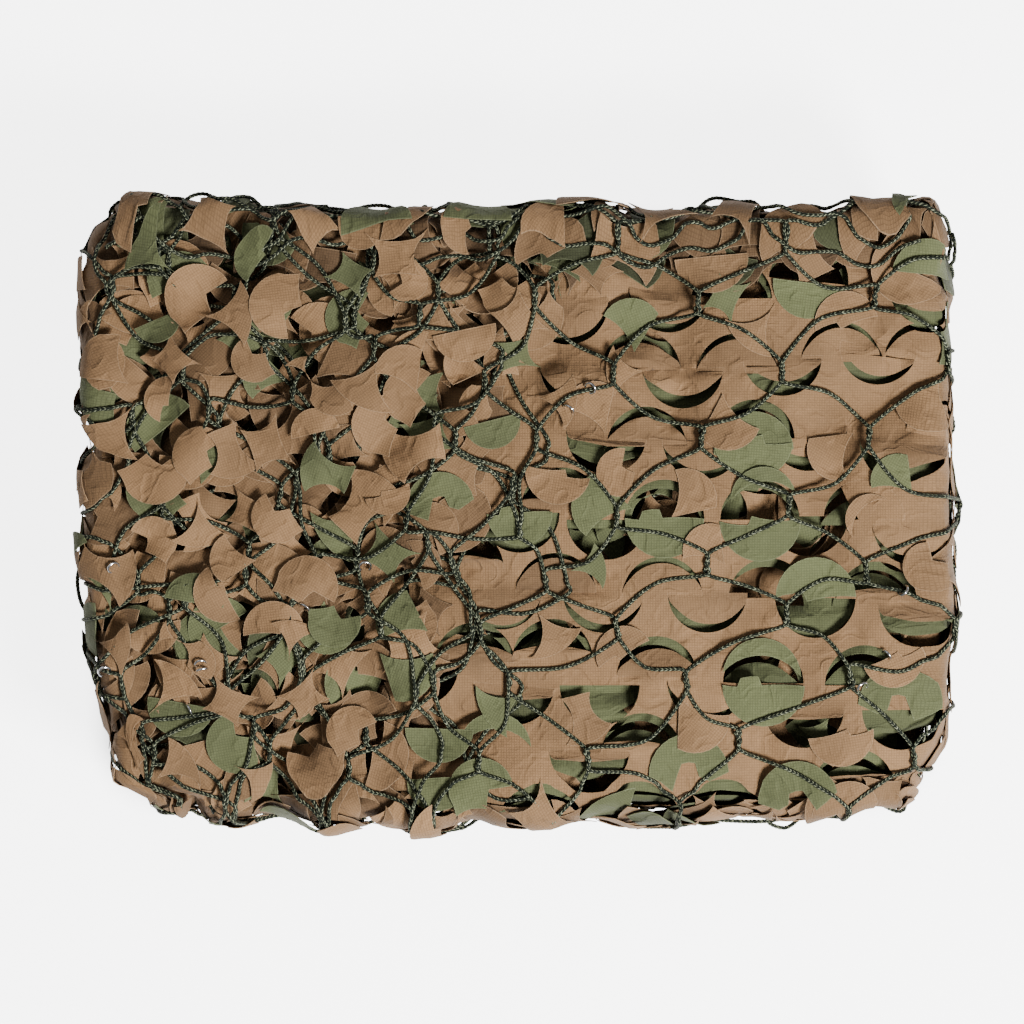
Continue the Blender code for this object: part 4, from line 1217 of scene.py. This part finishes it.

# ---------------------------------------------------------------- the upper leaves and the net
# The left part of the face and its bands along the long sides are crumpled: their leaves lie
# every way, with crossings of the net between them and over them.
# Columns for each pass: distance between its leaves (mm), share of green ones, how much darker it is painted,
# as shade for the passes that lie lower.
TOP_PASSES = ((24, 0.26, 0.4), (23, 0.14, 0.2), (27, 0.06, 0.0))
TOP_MARGIN = 15 * MM
TOP_REACH = (10, 10)
# The smooth cloth stays bare from its left border, which wanders, and between two sides.
# Columns: y, x of the border under the leaves, x of the border for the last leaves (mm).
SMOOTH_BORDER = ((-180, -70, -90), (-100, -60, -80), (0, -35, -60), (70, 0, -30), (180, 30, 0))
BORDER_WANDER = 14 * MM
SMOOTH_NEAR, SMOOTH_FAR = -172 * MM, 138 * MM
# The far band is painted darker, as shade where the face falls away from the lamp, and is greener and more
# ruffled.
FAR_BAND = 136 * MM
FAR_GREEN = 0.08
FAR_SHADE = 0.6
TOP = {"forms": TOP_SCRAPS, "folds": (0, 0.12, 0.25, 0.45), "size": (0.6, 0.95), "tone": (-0.35, 1.1)}
TOP_LIFT, FAR_LIFT = (0, 7), (0, 10)
CROSSING_TO = 45 * MM


def smooth_border(y, column):
    table = np.array(SMOOTH_BORDER).T * MM
    return np.interp(y, table[0], table[column])


brown_top, green_top = Cloth(), Cloth()
middle_cords = Cords(1.4 * MM, sides=6)
for turn, (step, green_share, shade) in enumerate(TOP_PASSES):
    spots = [
        spot_near(x, y, *TOP_REACH)
        for y in np.arange(-WIDTH / 2 - TOP_MARGIN, WIDTH / 2 + TOP_MARGIN, step * MM)
        for x in np.arange(-LENGTH / 2 - TOP_MARGIN, LENGTH / 2 + TOP_MARGIN, step * MM)
    ]
    dice.shuffle(spots)
    for x, y in spots:
        border = smooth_border(y, 1) + BORDER_WANDER * noise.noise(Vector((x * 20, y * 20, 3)))
        if x > border and SMOOTH_NEAR < y < SMOOTH_FAR:
            continue
        if y > FAR_BAND:
            cloth = either(brown_top, green_top, green_share + FAR_GREEN)
            scatter(cloth, (x, y), lift=FAR_LIFT, shade=shade + FAR_SHADE, **TOP)
        else:
            scatter(either(brown_top, green_top, green_share), (x, y), lift=TOP_LIFT, shade=shade, **TOP)
    if turn == 0:
        for route in strands(seed=23, wander=12 * MM, tight_wander=13 * MM, lap=1.4 * MM, bow=0.2):
            if route[:, 0].max() < CROSSING_TO:
                middle_cords.lay(route)
middle_cords.finish("middle_cords")

# Leaves that stand out, each where it lies: green ones turned out over the brown cloth and
# brown ones over the crumpled part.
# Columns: cloth, form, x, y (mm), way (degrees), flip, size, tip's lift (mm), crease.
TURNED_OUT = (
    ("green", "stepped", 85, -4, 180, 1, 0.97, 1, 0.04), ("green", "horseshoe", 136, 38, 4, 1, 0.98, 2, 0),
    ("green", "torn", 136, 41, 176, 1, 0.98, 1, 0.05), ("green", "torn", 140, -6, 180, -1, 1.0, 1, 0.05),
    ("green", "crescent", 142, 6, 8, 1, 0.8, 3, 0), ("green", "torn", 172, -49, 2, 1, 0.98, 2, 0.04),
    ("green", "stepped", 142, -100, 180, 1, 1.0, 1, 0.04), ("green", "crescent", 141, -96, -3, 1, 0.95, 2, 0),
    ("green", "horseshoe", 219, -108, -3, -1, 0.98, 2, 0), ("green", "horseshoe", 99, -147, 3, 1, 0.98, 2, 0),
    ("green", "horseshoe", 161, -162, 10, -1, 0.95, 2, 0), ("green", "cap", 168, 131, 173, 1, 0.88, 1, 0.1),
    ("green", "cap", 236, 136, -6, 1, 0.85, 4, 0), ("green", "wedge", 50, 2, 100, 1, 0.9, 2, 0),
    ("green", "stepped", 2, -1, 183, 1, 0.8, 1, 0), ("green", "web", 122, 122, 70, 1, 0.6, 2, 0.1),
    ("green", "horseshoe", -44, 6, 12, 1, 0.95, 3, 0), ("green", "cap", -14, 52, 195, 1, 0.8, 3, 0.15),
    ("green", "web", -50, 40, 20, 1, 0.85, 2, 0.1), ("green", "wedge", -64, -63, 80, 1, 0.9, 2, 0),
    ("green", "wedge", -64, -90, -110, 1, 1.0, 2, 0), ("green", "crescent", -12, -137, 0, 1, 1.0, 4, 0),
    ("green", "cap", -44, -125, 178, -1, 0.95, 2, 0.1), ("green", "horn", -8, -112, 60, 1, 0.8, 3, 0),
    ("green", "cap", -79, 158, 8, 1, 1.0, 3, 0.1), ("green", "cap", -15, 160, -8, 1, 1.05, 3, 0.1),
    ("green", "horn", 6, 170, 20, 1, 0.9, 3, 0), ("green", "horseshoe", -143, 155, 160, 1, 0.8, 3, 0.1),
    ("green", "cap", -192, 130, 25, 1, 0.9, 3, 0), ("green", "cap", -146, 122, 205, -1, 0.9, 3, 0.1),
    ("green", "comma", -93, 111, 60, 1, 0.8, 2, 0.2), ("green", "web", -154, 96, 35, -1, 0.8, 2, 0.2),
    ("green", "comma", -238, 67, 80, 1, 0.8, 2, 0.1), ("green", "cap", -203, 47, 40, 1, 1.0, 3, 0),
    ("green", "horn", -50, 64, -20, 1, 0.75, 2, 0.1), ("green", "web", 0, 88, 15, 1, 0.65, 2, 0.2),
    ("green", "comma", -206, 12, 120, 1, 0.85, 3, 0.1), ("green", "wedge", -180, 30, 10, 1, 0.9, 2, 0),
    ("green", "horn", -99, -11, 70, 1, 0.9, 3, 0.1), ("green", "web", -73, -23, 150, 1, 0.8, 2, 0.1),
    ("green", "cap", -192, -110, 170, 1, 0.95, 3, 0.1), ("green", "web", -131, -84, 40, -1, 0.8, 2, 0.2),
    ("green", "comma", -160, -133, 100, 1, 0.85, 3, 0.2), ("green", "horn", -235, -43, -60, 1, 0.8, 2, 0.1),
    ("green", "cap", -250, -69, 75, 1, 0.8, 2, 0), ("green", "wedge", -108, -66, 200, 1, 0.9, 2, 0),
    ("green", "cap", -44, -153, 184, 1, 0.9, 2, 0), ("green", "comma", -20, -160, 10, 1, 0.9, 2, 0.1),
    ("brown", "horseshoe", 212, 168, 20, 1, 0.9, 3, 0.1),
    ("brown", "crescent", 204, -5, 48, 1, 0.62, 4, 0), ("brown", "comma", -258, -18, 110, 1, 0.8, 2, 0),
    ("brown", "wedge", 122, 52, 205, 1, 0.85, 2, 0.1), ("brown", "horn", 62, 80, 30, 1, 0.6, 2, 0.1),
    ("brown", "wedge", 98, 8, -25, 1, 0.8, 2, 0.1), ("brown", "torn", 24, 22, 170, 1, 0.8, 3, 0.1),
    ("brown", "wedge", 184, 34, 150, 1, 0.8, 3, 0.1), ("brown", "torn", 20, 148, 20, 1, 0.9, 4, 0.1),
    ("brown", "anvil", 62, 150, 80, 1, 0.8, 3, 0.2), ("brown", "torn", 216, -84, 200, 1, 0.75, 3, 0.1),
    ("brown", "wedge", 44, 58, 40, 1, 0.8, 2, 0.1), ("brown", "horn", 24, 64, 200, 1, 0.65, 3, 0.1),
    ("brown", "comma", 60, 22, 80, 1, 0.6, 2, 0.1), ("brown", "wedge", 110, -22, 60, 1, 0.7, 2, 0.1),
    ("brown", "horn", 20, -70, 150, 1, 0.7, 3, 0.1), ("brown", "torn", 62, -82, 30, 1, 0.7, 3, 0.1),
    ("brown", "wedge", 104, -120, 230, 1, 0.9, 3, 0.1), ("brown", "anvil", 38, -118, 20, 1, 0.6, 2, 0.15),
    ("brown", "torn", 186, -128, 190, 1, 0.8, 3, 0.1), ("brown", "comma", 236, -32, 95, 1, 0.6, 3, 0.1),
    ("brown", "wedge", 236, 62, 170, 1, 0.8, 3, 0.1), ("brown", "torn", 190, 108, 15, 1, 0.8, 3, 0.1),
    ("brown", "horn", 138, 104, 80, 1, 0.7, 3, 0.1), ("green", "wedge", 218, 18, 60, 1, 0.7, 2, 0),
    ("green", "wedge", 66, 106, 20, 1, 0.8, 2, 0), ("green", "horn", 42, -32, 220, 1, 0.55, 2, 0.1),
    ("brown", "cap", 112, 146, 185, 1, 0.9, 3, 0.1), ("brown", "torn", 160, 152, 30, 1, 0.9, 4, 0.1),
)
OUT_TONE = (0.4, 0.9)
LEFT_SIZE = 0.88
FAR_FROM = 140
FAR_OUT_SHADE = 0.35


def lay_out(table):
    """Lays the leaves of a table; the left part's are a little smaller, the far band's painted darker as
    shade.
    """
    for colour, form, x, y, way, flip, size, lift, fold in table:
        cloth = green_top if colour == "green" else brown_top
        tone = dice.uniform(*OUT_TONE) - (FAR_OUT_SHADE if y > FAR_FROM else 0)
        size *= 1 if x > 0 else LEFT_SIZE
        lay_leaf(cloth, form, x * MM, y * MM, way, flip, size, lift, fold, tone)


lay_out(TURNED_OUT)

upper_cords = Cords(1.0 * MM, sides=6)
for route in strands(seed=8, wander=7 * MM, tight_wander=12 * MM, lap=1.0 * MM, bow=0.2):
    upper_cords.lay(route, sink=0.4 * MM)
# Slack bights of cord that hang out past the bundle's outline.
# Columns: x, y, z (mm).
BIGHTS = (
    ((-118, -166, 104), (-116, -179, 98), (-104, -187, 90), (-92, -183, 94), (-82, -168, 103)),
    ((-76, -165, 104), (-68, -178, 97), (-58, -181, 94), (-46, -170, 102)),
    ((66, -160, 106), (76, -177, 98), (88, -184, 90), (100, -184, 88), (105, -180, 93), (96, -172, 100)),
    ((96, -164, 104), (104, -177, 98), (118, -181, 91), (147, -182, 89), (165, -177, 95), (199, -168, 101)),
    ((160, -160, 105), (154, -172, 100), (147, -181, 93), (158, -186, 88), (168, -178, 95)),
    ((214, -150, 104), (222, -164, 98), (228, -173, 91), (223, -176, 90), (208, -168, 97), (198, -160, 103)),
    ((238, 76, 106), (250, 66, 100), (256, 50, 95), (252, 41, 97), (253, 24, 95), (254, -12, 96)),
    ((252, -8, 98), (257, -20, 92), (257, -32, 90), (256, -46, 94), (250, -62, 100), (240, -70, 106)),
    ((-244, -20, 103), (-254, -31, 96), (-257, -42, 91), (-253, -56, 96), (-242, -64, 103)),
    ((-228, -92, 103), (-240, -95, 97), (-245, -101, 93), (-239, -106, 96), (-226, -100, 103)),
    (
        (-202, 162, 106), (-197, 176, 100), (-190, 184, 95),
        (-180, 185, 94), (-170, 176, 101), (-166, 164, 107),
    ),
    ((-100, 164, 105), (-93, 176, 99), (-75, 178, 97), (-60, 168, 103)),
    ((100, 166, 105), (107, 177, 100), (116, 183, 95), (130, 181, 95), (140, 180, 96), (148, 168, 103)),
    ((184, 166, 106), (191, 176, 101), (202, 182, 96), (210, 172, 103)),
)
BIGHT_STEP = 0.7 * MM
for bight in BIGHTS:
    walk = smooth_route(np.array(bight) * MM, BIGHT_STEP)
    upper_cords.add(walk, np.tile((0.0, 0.0, 1.0), (len(walk), 1)))
upper_cords.finish("upper_cords")

crumpled_cords = Cords(1.3 * MM, sides=6)
for route in strands(seed=31, wander=12 * MM, tight_wander=15 * MM, lap=1.2 * MM, bow=0.2):
    if route[:, 0].max() < 0:
        crumpled_cords.lay(route)
# Loose runs of the net's far edge, along the far side. Columns: y (mm), phase of its waves; then
# the waves' height and length (mm).
FAR_RUNS = ((150, 7), (162, 19), (172, 31))
FAR_RUN_WAVES = ((7, 19), (4, 7))
FAR_RUN_POINTS = range(-236, 240, 12)
for level, phase in FAR_RUNS:
    x = np.array(FAR_RUN_POINTS)
    y = level + sum(height * np.sin(x / length + phase) for height, length in FAR_RUN_WAVES)
    crumpled_cords.lay(np.column_stack((x, y)) * MM)
crumpled_cords.finish("crumpled_cords")

# The last leaves of the crumpled part lie over the net, with those that stand out along the
# far border.
LAST_STEP = 33 * MM
LAST_REACH = (17, 17)
LAST_TO = 20 * MM
LAST_NEAR, LAST_FAR = -168 * MM, 142 * MM
LAST_GREEN = 0.15
LAST = {"forms": TOP_SCRAPS, "lift": (0, 5), "folds": (0, 0.1, 0.25), "size": (0.5, 0.85), "tone": (0.2, 1.0)}
EDGE_LEAVES = (
    ("brown", "torn", -212, 170, 70, 1, 1.15, 9, 0), ("brown", "comma", 214, 178, 100, 1, 0.9, 5, 0.1),
    ("brown", "anvil", -70, 178, 30, 1, 0.9, 5, 0.1), ("green", "cap", 232, 172, 40, 1, 0.7, 4, 0.1),
    ("green", "cap", -22, 164, -4, 1, 0.95, 6, 0.1), ("green", "cap", 12, 176, -12, 1, 0.9, 6, 0.1),
    ("brown", "cap", 44, 174, 5, 1, 0.9, 5, 0.1), ("brown", "web", 84, 170, 25, 1, 0.8, 4, 0.1),
    ("green", "cap", -80, 160, 8, 1, 1.0, 4, 0.1), ("brown", "web", 130, 172, 75, 1, 0.8, 4, 0.1),
    ("brown", "comma", -258, 20, 100, 1, 0.9, 4, 0.1),
)
for y in np.arange(-WIDTH / 2, WIDTH / 2, LAST_STEP):
    for x in np.arange(-LENGTH / 2, LAST_TO, LAST_STEP):
        spot = spot_near(x, y, *LAST_REACH)
        if spot[0] <= smooth_border(spot[1], 2) or not LAST_NEAR < spot[1] < LAST_FAR:
            scatter(either(brown_top, green_top, LAST_GREEN), spot, **LAST)
lay_out(EDGE_LEAVES)
brown_top.finish("brown_upper_leaves", BROWN, "brown_ripstop")
green_top.finish("green_upper_leaves", GREEN, "green_ripstop")

# ---------------------------------------------------------------- the rings
# Small C rings of bright wire, crimped round cord and cloth together, a little short of closed.
RING_RADIUS = 3.3 * MM
RING_WIRE = 0.72 * MM
RING_SPAN = (-0.20 * math.pi, 1.35 * math.pi)
RING_STEPS = 25
RING_LEAN = (0.5, 0.9)
RING_LIFT = 0.7 * MM
WIRE_SIDES = 8


def wire_finish():
    made = bpy.data.materials.new("bright wire")
    made.use_nodes = True
    shader = made.node_tree.nodes["Principled BSDF"]
    shader.inputs["Base Color"].default_value = (0.86, 0.87, 0.88, 1)
    shader.inputs["Metallic"].default_value = 1
    shader.inputs["Roughness"].default_value = 0.16
    return made


BRIGHT = wire_finish()


def unit(way):
    return way / np.linalg.norm(way)


def add_ring(name):
    """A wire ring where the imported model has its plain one, lifted onto the cords as they lie here."""
    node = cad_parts[name]
    corners = np.array([node.matrix_world @ vertex.co for vertex in node.data.vertices])
    middle = corners.mean(0)
    # The plain ring is thinnest along its own axis; a flat one is tipped up to show.
    axis = np.linalg.eigh(np.cov((corners - middle).T))[1][:, 0]
    if abs(axis[2]) > 0.8:
        axis = np.array((axis[0], axis[1], 0.5))
    axis = unit(axis)
    up = unit(np.array((0, 0, 1.0)) - axis * axis[2])
    lean = dice.uniform(*RING_LEAN)
    up = up * math.cos(lean) + axis * math.sin(lean)
    side = unit(np.cross(up, axis))
    across = np.cross(side, up)
    at = unrolled(middle[None, :2])
    middle = stand(at, pile.seat(at, *CORD_SEAT)(at) + RING_LIFT)[0]
    # The wire's round section, spun about the ring's own axis.
    out = math.cos(RING_SPAN[0]) * side + math.sin(RING_SPAN[0]) * up
    section = Matrix((out, across, np.cross(out, across))).transposed().to_4x4()
    section.translation = middle + out * RING_RADIUS
    bm = bmesh.new()
    bmesh.ops.create_circle(bm, cap_ends=True, segments=WIRE_SIDES, radius=RING_WIRE, matrix=section)
    bmesh.ops.spin(
        bm, geom=[*bm.verts, *bm.edges, *bm.faces], cent=middle, axis=across,
        angle=RING_SPAN[1] - RING_SPAN[0], steps=RING_STEPS,
    )
    bmesh.ops.recalc_face_normals(bm, faces=bm.faces)
    mesh = bpy.data.meshes.new("ring_" + name[-2:])
    bm.to_mesh(mesh)
    bm.free()
    mesh.materials.append(BRIGHT)
    mesh.shade_smooth()
    piece = bpy.data.objects.new(mesh.name, mesh)
    bpy.context.scene.collection.objects.link(piece)
    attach(piece, "root")
    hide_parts(name)


for name in sorted(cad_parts):
    if name.startswith("clip_"):
        add_ring(name)

# ---------------------------------------------------------------- the floor, light and camera
# A wide pale floor that glows softly to the eye, but neither under the bundle nor onto its
# sides: round the bundle's footprint its glow fades out into a painted contact shadow. One soft
# lamp from the near right gives the shadows, and a weak one opens them.
FLOOR_SIZE = 12
GLOW_SEEN = 5.0
GLOW_CAST = 0.7
SHADE_CORNER = 40 * MM
SHADE_FROM, SHADE_TO = -22 * MM, 12 * MM


def floor_finish():
    made = bpy.data.materials.new("pale floor")
    made.use_nodes = True
    shader = made.node_tree.nodes["Principled BSDF"]
    shader.inputs["Base Color"].default_value = (0.9, 0.9, 0.9, 1)
    shader.inputs["Emission Color"].default_value = (1, 1, 1, 1)
    shader.inputs["Roughness"].default_value = 0.9
    shading = Shading(made.node_tree)
    maths, fade = shading.maths, shading.fade
    # How far outside the bundle's rounded footprint a place lies.
    across = shading.split(shading.new("ShaderNodeTexCoord").outputs["Object"])
    squares = []
    for axis, length in enumerate((LENGTH, WIDTH)):
        off = maths("SUBTRACT", maths("ABSOLUTE", across[axis]), length / 2 - SHADE_CORNER)
        squares.append(maths("POWER", maths("MAXIMUM", off, 0.0), 2.0))
    away = maths("SQRT", maths("ADD", *squares))
    # The glow fades out over the bundle's footprint: a painted contact shadow on the floor.
    outside_painted_shadow = fade(away, SHADE_CORNER + SHADE_FROM, SHADE_CORNER + SHADE_TO, 0.0, 1.0, "SMOOTHSTEP")
    seen = shading.new("ShaderNodeLightPath").outputs["Is Camera Ray"]
    glow = fade(seen, 0.0, 1.0, GLOW_CAST, GLOW_SEEN, "SMOOTHSTEP")
    shading.link(maths("MULTIPLY", glow, outside_painted_shadow), shader.inputs["Emission Strength"])
    return made


floor_mesh = bpy.data.meshes.new("floor")
bm = bmesh.new()
bmesh.ops.create_grid(bm, x_segments=1, y_segments=1, size=FLOOR_SIZE)
bm.to_mesh(floor_mesh)
bm.free()
floor_mesh.materials.append(floor_finish())
floor = bpy.data.objects.new("floor", floor_mesh)
bpy.context.scene.collection.objects.link(floor)

world = bpy.data.worlds.new("studio")
world.use_nodes = True
world.node_tree.nodes["Background"].inputs["Color"].default_value = (1, 1, 1, 1)
world.node_tree.nodes["Background"].inputs["Strength"].default_value = 0.16
bpy.context.scene.world = world

LIT = Vector((0, 0, 0.1))
# Columns: name, place, size (m), power (W).
LAMPS = (("key", (0.92, -0.82, 1.65), 0.5, 84), ("fill", (-1.0, 0.8, 1.8), 1.2, 3.5))
for name, place, size, power in LAMPS:
    lamp = bpy.data.lights.new(name, "AREA")
    lamp.shape = "SQUARE"
    lamp.size = size
    lamp.energy = power
    made = bpy.data.objects.new(name, lamp)
    made.location = place
    made.rotation_euler = (LIT - made.location).to_track_quat("-Z", "Y").to_euler()
    bpy.context.scene.collection.objects.link(made)

# The camera looks straight down on the face, as the photograph does.
VIEW = 594 * MM
CAMERA_PLACE = (-2.3 * MM, -0.6 * MM, 2.1)
SENSOR = 36
camera_data = bpy.data.cameras.new("camera")
camera_data.lens = SENSOR * (CAMERA_PLACE[2] - FACE) / VIEW
camera = bpy.data.objects.new("camera", camera_data)
camera.location = CAMERA_PLACE
bpy.context.scene.collection.objects.link(camera)
bpy.context.scene.camera = camera
